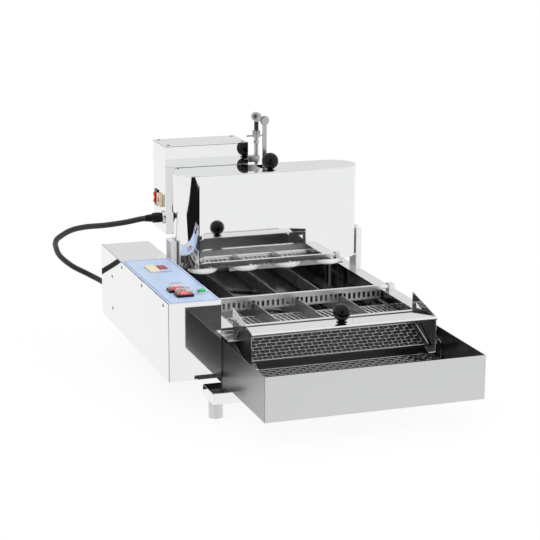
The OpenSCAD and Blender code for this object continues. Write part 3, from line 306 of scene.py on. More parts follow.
def over_colour(finish, share, colour):
    """Lays one more colour over a finish that is already coloured by a share."""
    tree = finish.node_tree
    under = tree.nodes["Principled BSDF"].inputs["Base Color"].links[0].from_socket
    colour_by(tree, share, under, colour)
    return finish


def roughen(tree, share, amount):
    """Adds to a finish's roughness by a share."""
    rough = tree.nodes["Principled BSDF"].inputs["Roughness"]
    smooth = rough.links[0].from_socket
    tree.links.new(calc(tree, "ADD", smooth, calc(tree, "MULTIPLY", share, amount)), rough)


@once
def polished_steel():
    return surface("polished_steel", colours().polished, metallic=1.0, roughness=0.03, spread=0.015,
                   grain=9.0, bump=0.00004)


@once
def chute_steel():
    """Polished steel, painted dark as shade on the cheeks: below the top plate and behind the lip's front."""
    plate, lip = 1.0 * MM, 2.2 * MM
    made = surface("chute_steel", colours().polished, metallic=1.0, roughness=0.05, spread=0.02,
                   grain=9.0, bump=0.00004)
    tree = made.node_tree
    below = short_of(tree, "Z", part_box("chute_knob")[0].z - plate)
    behind = past(tree, "Y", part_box("exit_chute")[0].y + lip)
    # Painted shade: the cheeks are coloured dark
    cheeks = both(tree, below, behind)
    roughen(tree, cheeks, amount=0.35)
    return two_colours(made, cheeks, colours().polished, colours().filmed)


@once
def casing_steel():
    """Polished steel, matt and painted dark as shade on the front wall behind the chute."""
    half_sheet = 0.75 * MM
    made = surface("casing_steel", colours().polished, metallic=1.0, roughness=0.03, spread=0.015,
                   grain=9.0, bump=0.00004)
    tree = made.node_tree
    # Painted shade: the front wall behind the chute is coloured dark
    front = short_of(tree, "Y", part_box("tank_casing")[0].y + half_sheet)
    roughen(tree, front, amount=0.4)
    return two_colours(made, front, colours().polished, colours().filmed)


@once
def tank_steel():
    """Bright on the rim, with the hopper's shadow painted dark on the rim behind it. Painted shade darkens
    the tank below the rim, and the front wall, where the dividers begin, is matt and paler."""
    rim, margin = 1.2 * MM, 0.5 * MM
    made = surface("tank_steel", colours().polished, metallic=1.0, roughness=0.08, spread=0.03,
                   grain=12.0, bump=0.00003)
    tree = made.node_tree
    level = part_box("oil_tank")[1].z - rim
    # Painted shade: below the rim the tank is coloured darker
    two_colours(made, past(tree, "Z", level), colours().tank, colours().polished)
    below = short_of(tree, "Z", level)
    ahead = short_of(tree, "Y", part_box("lane_divider_1")[0].y + margin)
    front = both(tree, below, ahead)
    roughen(tree, front, amount=0.4)
    over_colour(made, front, colours().satin)
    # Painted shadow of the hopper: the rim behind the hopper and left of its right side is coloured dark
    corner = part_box("hopper")[1]
    behind = both(tree, past(tree, "Y", corner.y), short_of(tree, "X", corner.x))
    hopper_shadow = calc(tree, "MAXIMUM", calc(tree, "SUBTRACT", behind, below), 0.0)
    return over_colour(made, hopper_shadow, colours().dark)


@once
def divider_steel():
    """Matt steel, with a painted highlight: the polished colour along the top edge, a darker one on the faces
    below.
    """
    top_edge = 0.8 * MM
    made = surface("divider_steel", colours().polished, metallic=1.0, roughness=0.32, spread=0.05, grain=12.0)
    # Painted highlight: the top edge takes the polished colour
    top_highlight = past(made.node_tree, "Z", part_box("lane_divider_1")[1].z - top_edge)
    return two_colours(made, top_highlight, colours().divider, colours().polished)


@once
def tray_steel():
    """Brushed steel. The inner faces lie further inside the tray's box than half a sheet and are painted dark
    as shade, apart from the front wall. The outer sides lie furthest from the middle and are painted darker
    as shade too."""
    low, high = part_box("tray")
    half_sheet = 0.75 * MM
    front_wall = 3 * half_sheet
    made = surface("tray_steel", colours().satin, metallic=1.0, roughness=0.3, spread=0.08,
                   grain=(6.0, 300.0, 900.0), bump=0.00002)
    tree = made.node_tree
    floor = past(tree, "Z", low.z + half_sheet)
    walls = calc(tree, "GREATER_THAN", to_edge(tree, low, high), half_sheet)
    # Painted shade: the inner faces, apart from the front wall's, are coloured dark
    inside = both(tree, both(tree, floor, walls), past(tree, "Y", low.y + front_wall))
    two_colours(made, inside, colours().satin, colours().filmed)
    # Painted shade: the outer side faces are coloured darker
    from_middle = calc(tree, "ABSOLUTE", calc(tree, "SUBTRACT", axis_of(tree, "X"), (low.x + high.x) / 2))
    sides = calc(tree, "GREATER_THAN", from_middle, (high.x - low.x) / 2 - half_sheet)
    return over_colour(made, sides, colours().tray_side)


@once
def satin_steel():
    return surface("satin_steel", colours().satin, metallic=1.0, roughness=0.3, spread=0.08,
                   grain=(6.0, 300.0, 900.0), bump=0.00002, tint=0.04)


@once
def bright_satin():
    return surface("bright_satin", colours().polished, metallic=1.0, roughness=0.24, spread=0.06,
                   grain=(40.0, 40.0, 400.0), tint=0.02)


@once
def post_steel():
    return surface("post_steel", colours().polished, metallic=0.35, roughness=0.35, spread=0.06,
                   grain=(40.0, 40.0, 400.0), tint=0.02)


@once
def scoop_steel():
    return surface("scoop_steel", colours().scoop, metallic=1.0, roughness=0.2, spread=0.05,
                   grain=60.0, bump=0.00002, tint=0.1)


@once
def comb_steel():
    return surface("comb_steel", colours().comb, metallic=1.0, roughness=0.3, spread=0.08,
                   grain=60.0, bump=0.00002, tint=0.06)


@once
def screw_steel():
    return surface("screw_steel", colours().screw, metallic=1.0, roughness=0.25, spread=0.08,
                   grain=300.0, bump=0.00002, tint=0.1)


@once
def wire_steel():
    return surface("wire_steel", colours().wire, metallic=1.0, roughness=0.16, spread=0.06,
                   grain=200.0, bump=0.00001, tint=0.05)


@once
def linkage_steel():
    return surface("linkage_steel", colours().linkage, metallic=1.0, roughness=0.26, spread=0.08,
                   grain=(150.0, 150.0, 40.0), bump=0.00002, tint=0.08)


@once
def dark_steel():
    return surface("dark_steel", colours().dark, metallic=1.0, roughness=0.35, spread=0.1,
                   grain=60.0, bump=0.00005, tint=0.2)


@once
def bright_chrome():
    return surface("bright_chrome", colours().chrome, metallic=1.0, roughness=0.06, spread=0.03, grain=80.0)


@once
def motor_paint():
    return surface("motor_paint", colours().paint, metallic=0.0, roughness=0.5, spread=0.1,
                   grain=500.0, bump=0.00005, tint=0.1)


@once
def white_plastic():
    return surface("white_plastic", colours().white, metallic=0.0, roughness=0.35, spread=0.08,
                   grain=400.0, bump=0.00002, tint=0.03)


@once
def black_plastic():
    return surface("black_plastic", colours().black, metallic=0.0, roughness=0.14, spread=0.05,
                   grain=120.0, tint=0.1, Specular_IOR_Level=0.22)


@once
def black_rubber():
    return surface("black_rubber", colours().rubber, metallic=0.0, roughness=0.42, spread=0.1,
                   grain=600.0, bump=0.00003, tint=0.2)


@once
def red_plastic():
    return surface("red_plastic", colours().red, metallic=0.0, roughness=0.18, spread=0.06,
                   grain=150.0, tint=0.1, Specular_IOR_Level=0.2)


@once
def green_plastic():
    return surface("green_plastic", colours().green, metallic=0.0, roughness=0.16, spread=0.05,
                   grain=150.0, tint=0.15, Specular_IOR_Level=0.2)


@once
def clear_plastic():
    return surface("clear_plastic", colours().clear, metallic=0.0, roughness=0.14, spread=0.05,
                   grain=150.0, bump=0.00002, Transmission_Weight=0.93, IOR=1.2)


@once
def beige_plastic():
    return surface("beige_plastic", colours().beige, metallic=0.0, roughness=0.4, spread=0.08,
                   grain=700.0, bump=0.00002, tint=0.04)


@once
def controller_plastic():
    """Beige round the keys, then the panel's blue from a gap left of the display on, and a black ring round
    the display: split by the Object coordinate across and by the distance to the display."""
    low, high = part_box("controller_display")
    gap, ring = 3.0 * MM, 0.8 * MM
    made = surface("controller_plastic", colours().beige, metallic=0.0, roughness=0.38, spread=0.08,
                   grain=700.0, bump=0.00002)
    tree = made.node_tree
    two_colours(made, past(tree, "X", low.x - gap), colours().beige, colours().panel)
    near = calc(tree, "GREATER_THAN", to_edge(tree, low, high), -ring)
    return over_colour(made, near, colours().black)


@once
def display_red():
    return surface("display_red", colours().window, metallic=0.0, roughness=0.08, spread=0.03,
                   grain=200.0, tint=0.15, Specular_IOR_Level=0.15)


@once
def panel_print():
    """Light blue foil with a darker line round it: the line is where the distance to the panel's edge,
    the least of the four Object coordinate distances, lies between two insets."""
    low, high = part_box("panel_overlay")
    inset, line = 3.2 * MM, 1.4 * MM
    made = surface("panel_print", colours().panel, metallic=0.0, roughness=0.32, spread=0.06, grain=300.0)
    tree = made.node_tree
    edge = to_edge(tree, low, high)
    inside = calc(tree, "GREATER_THAN", edge, inset)
    outside = calc(tree, "LESS_THAN", edge, inset + line)
    return two_colours(made, both(tree, inside, outside), colours().panel, colours().panel_line)


# Surfaces

def grid_quads(rows, cols, wrap=True):
    """Quads between the points of a grid, numbered row by row; each row closes on itself where it wraps."""
    across = cols if wrap else cols - 1
    row, col = np.meshgrid(np.arange(rows - 1), np.arange(across), indexing="ij")
    nxt = (col + 1) % cols
    return np.stack([row * cols + col, row * cols + nxt, (row + 1) * cols + nxt, (row + 1) * cols + col],
                    axis=-1).reshape(-1, 4)


def many(points, quads):
    """Points of several like grids (copies, rows, columns, 3) with one grid's quads repeated for each."""
    copies = points.shape[0]
    count = points.shape[1] * points.shape[2]
    shift = np.arange(copies)[:, None, None] * count
    return points.reshape(-1, 3), (quads[None] + shift).reshape(-1, 4)


def join(*surfaces):
    """One point list and one quad list out of several surfaces."""
    starts = np.cumsum([0] + [len(points) for points, _ in surfaces[:-1]])
    points = np.concatenate([points for points, _ in surfaces])
    quads = np.concatenate([quads + start for (_, quads), start in zip(surfaces, starts)])
    return points, quads


def put(name, made, finish, body, slot, *nodes):
    """A mesh object at the origin out of points and quads: poles merged, faces outwards, riding on a body."""
    points, quads = made
    mesh = bpy.data.meshes.new(name)
    mesh.from_pydata(points.tolist(), [], quads.tolist())
    tidy = bmesh.new()
    tidy.from_mesh(mesh)
    bmesh.ops.remove_doubles(tidy, verts=tidy.verts, dist=MERGE_NEW)
    bmesh.ops.recalc_face_normals(tidy, faces=tidy.faces)
    tidy.to_mesh(mesh)
    tidy.free()
    mesh.shade_smooth()
    mesh.set_sharp_from_angle(angle=SHARP_NEW)
    mesh.materials.append(finish)
    piece = bpy.data.objects.new(name, mesh)
    bpy.context.scene.collection.objects.link(piece)
    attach(piece, body)
    if nodes:
        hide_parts(*nodes)
    return piece


def turned(profile, centre, axis="z", steps=None):
    """A turned piece: the profile's radii and heights carried round an axis through the centre."""
    steps = steps or sizes().round_steps
    turn = np.linspace(0, 2 * pi, steps, endpoint=False)
    radius, height = np.asarray(profile, float).T
    side = radius[:, None] * np.cos(turn)
    up = radius[:, None] * np.sin(turn)
    along = np.repeat(height[:, None], steps, axis=1)
    order = {"z": (side, up, along), "x": (along, side, up)}[axis]
    points = np.stack(order, axis=-1).reshape(-1, 3) + np.asarray(centre, float)
    return points, grid_quads(len(radius), steps)


def loft(rings, centre, power=6.0, steps=48):
    """A rounded box: rings of half sizes and a height in millimetres, each a superellipse of the power."""
    turn = np.linspace(0, 2 * pi, steps, endpoint=False)
    side, ahead = (np.sign(v) * np.abs(v) ** (2 / power) for v in (np.cos(turn), np.sin(turn)))
    wide, deep, height = np.asarray(rings, float).T[:, :, None] * MM
    rows = np.stack(np.broadcast_arrays(wide * side, deep * ahead, height), axis=-1)
    return rows.reshape(-1, 3) + np.asarray(centre, float), grid_quads(len(rings), steps)


def tube(path, radius, sides):
    """A round tube along a path: rings across the path's direction, with the ends closed to a point."""
    steep = 0.95
    path = np.asarray(path, float)
    ahead = np.gradient(path, axis=0)
    ahead /= np.linalg.norm(ahead, axis=1)[:, None]
    level = np.where(np.abs(ahead[:, 2:]) > steep, [[0.0, 1.0, 0.0]], [[0.0, 0.0, 1.0]])
    side = np.cross(ahead, level)
    side /= np.linalg.norm(side, axis=1)[:, None]
    up = np.cross(side, ahead)
    turn = np.linspace(0, 2 * pi, sides, endpoint=False)
    ring = np.cos(turn)[None, :, None] * side[:, None] + np.sin(turn)[None, :, None] * up[:, None]
    rows = path[:, None] + radius * ring
    first = np.repeat(path[None, :1], sides, axis=1)
    last = np.repeat(path[None, -1:], sides, axis=1)
    rows = np.concatenate([first, rows, last])
    return rows.reshape(-1, 3), grid_quads(len(rows), sides)


def smooth_path(points, steps):
    """A Catmull-Rom curve through the points, with its ends doubled."""
    points = np.asarray(points, float)
    padded = np.concatenate([points[:1], points, points[-1:]])
    a, b, c, d = (padded[k:k + len(points) - 1, None] for k in range(4))
    t = (np.arange(steps) / steps)[None, :, None]
    bend, twist = 2 * a - 5 * b + 4 * c - d, 3 * b - a - 3 * c + d
    curve = 0.5 * (2 * b + (c - a) * t + bend * t ** 2 + twist * t ** 3)
    return np.concatenate([curve.reshape(-1, 3), points[-1:]])


def weave(corner, across, along, wire, pitch_across, pitch_along, sides=6, fine=4):
    """Woven wire on a flat rectangle: each wire rises and falls as a cosine, over one crossing and under the
    next, and the wires of the other direction do the opposite."""
    corner, across, along = (np.asarray(v, float) for v in (corner, across, along))
    width, length = np.linalg.norm(across), np.linalg.norm(along)
    right, ahead = across / width, along / length
    normal = np.cross(right, ahead)
    turn = np.linspace(0, 2 * pi, sides, endpoint=False)

    def family(run, other, run_len, other_len, run_pitch, other_pitch, sign):
        """The wires of one direction."""
        crossings = max(1, round(run_len / run_pitch))
        wires = max(1, round(other_len / other_pitch))
        s = np.linspace(0, run_len, crossings * fine + 1)
        t = np.linspace(0, other_len, wires + 1)
        phase = pi * s[None, :] * crossings / run_len + pi * np.arange(wires + 1)[:, None]
        rise = sign * 0.5 * wire * np.cos(phase)
        core = corner + t[:, None, None] * other + s[None, :, None] * run + rise[..., None] * normal
        ring = 0.5 * wire * (np.cos(turn)[:, None] * other + np.sin(turn)[:, None] * normal)
        rows = core[:, :, None] + ring
        first, last = (np.repeat(core[:, [k], None], sides, axis=2) for k in (0, -1))
        rows = np.concatenate([first, rows, last], axis=1)
        return many(rows, grid_quads(rows.shape[1], sides))

    return join(family(ahead, right, length, width, pitch_along, pitch_across, 1),
                family(right, ahead, width, length, pitch_across, pitch_along, -1))


def middle(node):
    """Middle of a CAD node's box, as a numpy point."""
    low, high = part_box(node)
    return (np.array(low) + np.array(high)) / 2


def dress(node, finish, edge):
    """A copy of a CAD node with its triangles joined, its flat faces made whole and its edges rounded."""
    mesh = frame["nodes"][node].data.copy()
    mesh.name = node + "_dressed"
    tidy = bmesh.new()
    tidy.from_mesh(mesh)
    bmesh.ops.remove_doubles(tidy, verts=tidy.verts, dist=MERGE_CAD)
    bmesh.ops.dissolve_limit(tidy, angle_limit=FLAT, verts=tidy.verts, edges=tidy.edges)
    tidy.to_mesh(mesh)
    tidy.free()
    mesh.materials.clear()
    mesh.materials.append(finish)
    mesh.shade_smooth()
    mesh.set_sharp_from_angle(angle=SHARP_CAD)
    piece = bpy.data.objects.new(node + "_dressed", mesh)
    bpy.context.scene.collection.objects.link(piece)
    if edge:
        rounding = piece.modifiers.new("Edges", "BEVEL")
        rounding.width = edge
        rounding.segments = 2
        rounding.limit_method = "ANGLE"
        rounding.angle_limit = ROUNDED
        rounding.harden_normals = True
    shading = piece.modifiers.new("Shading", "WEIGHTED_NORMAL")
    shading.keep_sharp = True
    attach(piece, BODY_OF[node])
    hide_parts(node)
    return piece


class FRYER_OT_camera(bpy.types.Operator):
    """Sets the camera to the photograph's view"""
    bl_idname = "fryer.camera"
    bl_label = "Camera"

    def execute(self, context):
        lens = bpy.data.cameras.new("view")
        lens.sensor_width = 36.0
        lens.lens = 110.383
        lens.clip_end = 50.0
        camera = bpy.data.objects.new("view", lens)
        camera.location = (-0.97963573, -2.76723524, 0.93748475)
        camera.rotation_euler = [radians(a) for a in (76.15026636, -0.16796343, -19.15159072)]
        context.scene.collection.objects.link(camera)
        context.scene.camera = camera
        return {"FINISHED"}


class FRYER_OT_cable(bpy.types.Operator):
    """Makes the cable between the boxes, its ribbed plug and its gland"""
    bl_idname = "fryer.cable"
    bl_label = "Cable"

    def execute(self, context):
        path = smooth_path(CABLE_ROUTE, steps=10)
        snug = 0.99
        sheath = tube(path, snug * sizes().cable / 2, sides=20)
        cable = put("cable", sheath, black_rubber(), "frame", "black_rubber", "link_cable")
        self.plug()
        self.gland()
        return {"FINISHED"}

    def plug(self):
        """A turned plug: a boot whose radius grows evenly and carries cosine ribs, then a collar with a
        groove wherever a cosine is high, and with ends that fall off by a tenth power. Its radii are in
        millimetres."""
        low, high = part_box("connector_plug")
        centre = middle("connector_plug")
        centre[0] = low.x
        boot, full = 14 * MM, high.x - low.x
        tip, growth, ribs, rib = 6.2, 1.6, 5, 0.55
        grip, grooves, groove, crest, fall = 10, 6, 0.35, 0.6, 1.2
        s = np.linspace(0, 1, 61)
        ribbed = (tip + growth * s + rib * np.cos(2 * pi * ribs * s)) * MM
        t = np.linspace(0, 1, 41)
        grooved = grip - groove * (np.cos(2 * pi * grooves * t) > crest)
        collar = (grooved - fall * np.abs(2 * t - 1) ** 10) * MM
        profile = np.concatenate([[[0, 0]], np.stack([ribbed, s * boot], -1),
                                  np.stack([collar, boot + t * (full - boot)], -1), [[0, full]]])
        return put("plug", turned(profile, centre, "x"), black_plastic(), "frame", "black_plastic",
                   "connector_plug")

    def gland(self):
        """A turned gland whose nut has six flats: there the radius is a hexagon's, its least radius over the
        cosine of the angle to the middle of the nearest flat. Each ring has a radius and a height in
        millimetres, and 1 where it has flats."""
        low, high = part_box("cable_gland")
        centre = middle("cable_gland")
        centre[1] = low.y
        thread, full = 10, (high.y - low.y) / MM
        rings = [(0, 0, 0), (8, 0, 0), (8, thread, 0), (11, thread, 1), (11, thread + 6, 1),
                 (10, thread + 6.5, 0), (9.6, full - 3, 0), (8, full - 0.6, 0), (5.4, full, 0), (0, full, 0)]
        steps = sizes().round_steps
        turn = np.linspace(0, 2 * pi, steps, endpoint=False)
        flat = np.cos(pi / 6) / np.cos((turn + pi / 6) % (pi / 3) - pi / 6)
        radius, height, hexed = np.array(rings).T
        reach = radius[:, None] * np.where(hexed[:, None] > 0, flat, 1.0) * MM
        along = np.repeat(height[:, None] * MM, steps, 1)
        rows = np.stack([reach * np.cos(turn), along, reach * np.sin(turn)], -1)
        made = rows.reshape(-1, 3) + centre, grid_quads(len(rings), steps)
        return put("gland", made, black_plastic(), "frame", "black_plastic", "cable_gland")


class FRYER_OT_sheet_metal(bpy.types.Operator):
    """Rounds the edges of all sheet metal, machined pieces, nozzles and motors and gives them their finish"""
    bl_idname = "fryer.sheet_metal"
    bl_label = "Sheet metal"

    def execute(self, context):
        edge, fine = sizes().edge, sizes().fine_edge
        for finish, rounding, nodes in (
                (polished_steel, edge, ("control_box", "control_side_cover", "head_box", "head_top_cover",
                                        "hopper", "hopper_lid", "head_column", "foot_bars", "base_rails")),
                (chute_steel, edge, ("exit_chute",)),
                (casing_steel, edge, ("tank_casing",)),
                (polished_steel, fine, ("plungers",)),
                (comb_steel, fine, ("flip_comb",)),
                (scoop_steel, fine, ("exit_scoop",)),
                (linkage_steel, fine, ("drive_bar", "link_pin", "lift_rod", "rod_guide", "stroke_nut")),
                (linkage_steel, 0, ("heating_element",)),
                (tank_steel, edge, ("oil_tank",)),
                (divider_steel, fine, ("lane_divider_1", "lane_divider_2", "lane_divider_3")),
                (tray_steel, edge, ("tray",)),
                (white_plastic, fine, ("nozzles",)),
                (satin_steel, edge, ("feet", "temperature_probe")),
                (bright_satin, edge, ("chute_ledges", "comb_bearings")),
                (post_steel, edge, ("hopper_posts",)),
                (dark_steel, fine, ("lift_lever", "motor_sprocket", "flip_sprocket", "scoop_crank",
                                    "drive_chain")),
                (motor_paint, edge, ("comb_gearmotor", "head_gearmotor"))):
            for node in nodes:
                dress(node, finish(), rounding)
        return {"FINISHED"}


class FRYER_OT_wire_mesh(bpy.types.Operator):
    """Weaves the chute's mesh and the tray's rack, both with thicker wire round them, and rolls the lip"""
    bl_idname = "fryer.wire_mesh"
    bl_label = "Wire mesh"

    def execute(self, context):
        low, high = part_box("chute_mesh")
        half = sizes().rim_wire / 2
        left, right = low.x + half, high.x - half
        back, front = high.y - half, low.y + half
        top, foot = high.z - half, low.z + half
        self.net("chute_wire", (left, front, foot), (right, front, foot), (left, back, top), "chute",
                 "chute_mesh")
        short = 4 * MM
        slope = (front, foot), (back - short, top - short * (top - foot) / (back - front))
        low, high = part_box("rack_floor")
        level, lift = high.z - half, 0.2 * MM
        left, right = low.x + half, high.x - half
        back, front = high.y - half, low.y + half
        legs = [tube([(x, y, low.z + lift), (x, y, level - half)], half, sides=10)
                for x in (left, right) for y in (front, back)]
        self.net("rack_wire", (left, front, level), (right, front, level), (left, back, level), "tray",
                 "rack_floor", legs + self.wings(slope, level))
        self.lip_roll()
        return {"FINISHED"}

    def wings(self, slope, level):
        """Two sloped strips of net beside the chute's cheeks, each between two bent wires from the rack."""
        (front, foot), (back, top) = slope
        tray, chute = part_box("tray"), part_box("chute_mesh")
        wall, cheek, half = 4 * MM, 6 * MM, sizes().rim_wire / 2
        made = []
        for left, right in ((tray[0].x + wall, chute[0].x - cheek), (chute[1].x + cheek, tray[1].x - wall)):
            corner = np.array((left, front, foot))
            across, along = np.array((right - left, 0, 0)), np.array((0, back - front, top - foot))
            made.append(weave(corner, across, along, sizes().wire, sizes().mesh_across, sizes().mesh_along))
            bent = [[(x, front, level), (x, front, foot), (x, back, top)] for x in (left, right)]
            made += [tube(line, half, sides=10) for line in bent]
        return made

    def lip_roll(self):
        """A round roll along the chute lip's front edge: a tube along a straight line."""
        mesh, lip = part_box("chute_mesh"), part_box("chute_knob")[0].z
        radius, wall, inset = 3 * MM, 1.5 * MM, 0.6 * MM
        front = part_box("exit_chute")[0].y + inset
        line = [(x, front, lip - radius) for x in np.linspace(mesh[0].x - wall, mesh[1].x + wall, 5)]
        put("lip_roll", tube(line, radius, sides=16), polished_steel(), "chute", "polished_steel")

    def net(self, name, corner, right, back, body, node, extra=()):
        """One woven net between three corners, with its rim and what stands on or under it."""
        corner, right, back = (np.array(p) for p in (corner, right, back))
        across, along = right - corner, back - corner
        size = sizes()
        net = weave(corner, across, along, size.wire, size.mesh_across, size.mesh_along)
        loops = [(corner, right), (right, right + along), (right + along, back), (back, corner)]
        rim = [tube(np.linspace(a, b, 3), size.rim_wire / 2, sides=10) for a, b in loops]
        put(name, join(net, *rim, *extra), wire_steel(), body, SLOT_OF[node], node)


class FRYER_OT_knobs(bpy.types.Operator):
    """Turns the two ball knobs"""
    bl_idname = "fryer.knobs"
    bl_label = "Knobs"

    def execute(self, context):
        for node in ("chute_knob", "lid_knob"):
            self.knob(node)
        return {"FINISHED"}

    def knob(self, node):
        """A foot that narrows by a quarter sine to a neck, then a ball: radius from the circle's equation."""
        low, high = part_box(node)
        centre = middle(node)
        centre[2] = low.z
        ball, tall = (high.x - low.x) / 2, high.z - low.z
        base, neck, foot = 10 * MM, 5 * MM, 2.5 * MM
        rise, chamfer = 0.4 * MM, 0.3 * MM
        s = np.linspace(0, 1, 13)
        narrowing = neck + (base - neck) * (1 - np.sin(s * pi / 2))
        flare = np.stack([narrowing, rise + s * (foot - rise)], -1)
        a = np.linspace(-np.arccos(neck / ball), pi / 2, 33)
        globe = np.stack([ball * np.cos(a), tall - ball + ball * np.sin(a)], -1)
        profile = np.concatenate([[[0, 0], [base - chamfer, 0]], flare, globe])
        put(node + "_turned", turned(profile, centre), black_plastic(), BODY_OF[node], SLOT_OF[node], node)


class FRYER_OT_screws(bpy.types.Operator):
    """Makes the covers' screws with domed heads and crossed recesses"""
    bl_idname = "fryer.screws"
    bl_label = "Screws"

    def execute(self, context):
        control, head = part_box("control_side_cover"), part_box("head_top_cover")
        run, tall = control[1].y - control[0].y, control[1].z - control[0].z
        inset = 9 * MM
        # Shares of the side cover's length and height
        upper_row, rear_row, rear_heights = (0.06, 0.36, 0.66), 0.82, (0.23, 0.68)
        side = [(share * run + control[0].y, control[1].z - inset) for share in upper_row]
        side += [(rear_row * run + control[0].y, control[0].z + share * tall) for share in rear_heights]
        heads = [self.head((control[0].x, y, z), "side") for y, z in side]
        heads += [self.head((x, y, head[1].z), "top") for x in (head[0].x + inset, head[1].x - inset)
                  for y in (head[0].y + inset, head[1].y - inset)]
        put("screw_heads", join(*heads), screw_steel(), "frame", "satin_steel", "cover_screws")
        return {"FINISHED"}

    def head(self, seat, way):
        """A dome, half an ellipse over the radius, lowered by a step inside a cross. The last row closes it
        below."""
        steps, radius, tall = 32, 3.5 * MM, 1.2 * MM
        bar, arm, sunk = 0.45 * MM, 0.62 * radius, 0.6 * MM
        turn = np.linspace(0, 2 * pi, steps, endpoint=False) + pi / steps
        r = np.append(np.linspace(0, 1, 10), 0)[:, None] * radius
        x, y = r * np.cos(turn), r * np.sin(turn)
        cross = (np.minimum(np.abs(x), np.abs(y)) < bar) & (r < arm)
        up = tall * (1 - (r / radius) ** 2) ** 0.5 * np.ones_like(x) - sunk * cross
        up[-1] = 0
        if way == "side":
            rows = np.stack([-up, x, y], -1)
        else:
            rows = np.stack([x, y, up], -1)
        return rows.reshape(-1, 3) + np.array(seat), grid_quads(len(r), steps)


class FRYER_OT_linkage(bpy.types.Operator):
    """Puts the dark thread on the lift rod"""
    bl_idname = "fryer.linkage"
    bl_label = "Linkage"

    def execute(self, context):
        # A turned sleeve whose radius is a cosine of the height, one wave for each turn of the thread
        rod = middle("stroke_nut")
        clear, eye = 0.5 * MM, 18 * MM
        bore, pitch_radius, depth = 3.9 * MM, 4.35, 0.3
        low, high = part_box("stroke_nut")[1].z + clear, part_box("lift_rod")[1].z - eye
        tall = high - low
        turns, rings_per_turn = round(tall / sizes().thread_pitch), 6
        s = np.linspace(0, 1, turns * rings_per_turn + 1)
        radius = (pitch_radius + depth * np.cos(2 * pi * turns * s)) * MM
        profile = np.concatenate([[[bore, 0]], np.stack([radius, s * tall], -1), [[bore, tall], [bore, 0]]])
        thread = turned(profile, (rod[0], rod[1], low), steps=24)
        put("rod_thread", thread, dark_steel(), "dispenser", "dark_steel")
        return {"FINISHED"}


class FRYER_OT_panel(bpy.types.Operator):
    """Finishes the panel and the head box's controls: foil, controller, counter, switches, caps and button"""
    bl_idname = "fryer.panel"
    bl_label = "Panel"

    def execute(self, context):
        fine = sizes().fine_edge
        moulded = fine * 2
        for finish, rounding, nodes in (
                (panel_print, 0, ("panel_overlay",)),
                (controller_plastic, moulded, ("controller_bezel",)),
                (beige_plastic, moulded, ("counter_bezel",)),
                (display_red, fine, ("controller_display", "counter_display")),
                (black_plastic, moulded, ("head_switch_frame",)),
                (red_plastic, moulded, ("power_rocker", "heat_rocker", "head_rocker")),
                (green_plastic, sizes().soft_edge, ("start_button",)),
                (bright_chrome, moulded, ("button_bezel", "connector_socket"))):
            for node in nodes:
                dress(node, finish(), rounding)
        self.keys()
        self.switches()
        return {"FINISHED"}

    def switches(self):
        """Two frames and two clear caps: superellipse rings of half sizes and heights, in millimetres,
        stacked up the outside and down the inside."""
        proud = 1.5 * MM
        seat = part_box("panel_overlay")[1].z
        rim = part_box("switch_frames")[1].z + proud
        tall = (rim - seat) / MM
        frame_rings = [(16, 14.5, 0), (16, 14.5, tall - 0.8), (15.3, 13.8, tall), (13, 11.5, tall),
                       (12.5, 11, tall - 0.6), (12.5, 11, 0), (16, 14.5, 0)]
        cap_rings = [(14.2, 12.7, 0), (14, 12.5, 4.8), (13.2, 11.8, 7), (11.4, 10.1, 8.2), (0, 0, 8.6),
                     (0, 0, 7.8), (10.8, 9.5, 7.4), (12.4, 11, 6.4), (13.2, 11.7, 4.6), (13.4, 11.9, 0),
                     (14.2, 12.7, 0)]
        centres = [middle(node) for node in ("power_rocker", "heat_rocker")]
        frames = [loft(frame_rings, (x, y, seat)) for x, y, _ in centres]
        caps = [loft(cap_rings, (x, y, rim)) for x, y, _ in centres]
        put("switch_rims", join(*frames), black_plastic(), "frame", "black_plastic", "switch_frames")
        put("switch_covers", join(*caps), clear_plastic(), "frame", "clear_plastic", "switch_caps")

    def keys(self):
        """Keys beside the display: each a pillow whose height is the product of two fourth-power falls, over
        a flat foot."""
        low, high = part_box("controller_bezel")
        wide, deep, tall, sunk = 5 * MM, 7 * MM, 1.4 * MM, 0.3 * MM
        across, along = np.array([0.2, 0.4]), np.array([0.24, 0.5, 0.76])
        count = 9
        u = np.linspace(-1, 1, count)
        a, b = np.meshgrid(u, u, indexing="ij")
        up = tall * (1 - a ** 4) * (1 - b ** 4) * np.array([0, 1])[:, None, None, None]
        x = low.x + across * (high.x - low.x)
        y = low.y + along * (high.y - low.y)
        px, py = (v.ravel()[:, None, None] for v in np.meshgrid(x, y, indexing="ij"))
        seat = high.z - sunk
        rows = np.stack(np.broadcast_arrays(px + a * wide / 2, py + b * deep / 2, seat + up), -1)
        faces = many(rows.reshape(-1, count, count, 3), grid_quads(count, count, False))
        put("controller_keys", faces, beige_plastic(), "frame", "beige_plastic")


class FRYER_OT_seams(bpy.types.Operator):
    """Lays thin dark strips round the covers, painted shade in the gaps between the covers and their boxes"""
    bl_idname = "fryer.seams"
    bl_label = "Seams"

    def execute(self, context):
        head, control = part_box("head_top_cover"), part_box("control_side_cover")
        level, plane = head[0].z, control[1].x
        top = [(x, y, level) for x, y in self.loop(head[0].x, head[0].y, head[1].x, head[1].y)]
        side = [(plane, y, z) for y, z in self.loop(control[0].y, control[0].z, control[1].y, control[1].z)]
        # Painted shade: dark strips where the gaps round the covers lie in shade
        shade_strips = [tube(np.linspace(a, b, 3), sizes().bead / 2, sides=8)
                 for ring in (top, side) for a, b in zip(ring[:-1], ring[1:])]
        put("seam_beads", join(*shade_strips), black_rubber(), "frame", "black_rubber")
        return {"FINISHED"}

    def loop(self, low_a, low_b, high_a, high_b):
        """Corners of a rectangle, closed, drawn in by a third of the dark strip's thickness."""
        sunk = sizes().bead / 3
        near, far, left, right = low_a + sunk, high_a - sunk, low_b + sunk, high_b - sunk
        return [(near, left), (far, left), (far, right), (near, right), (near, left)]


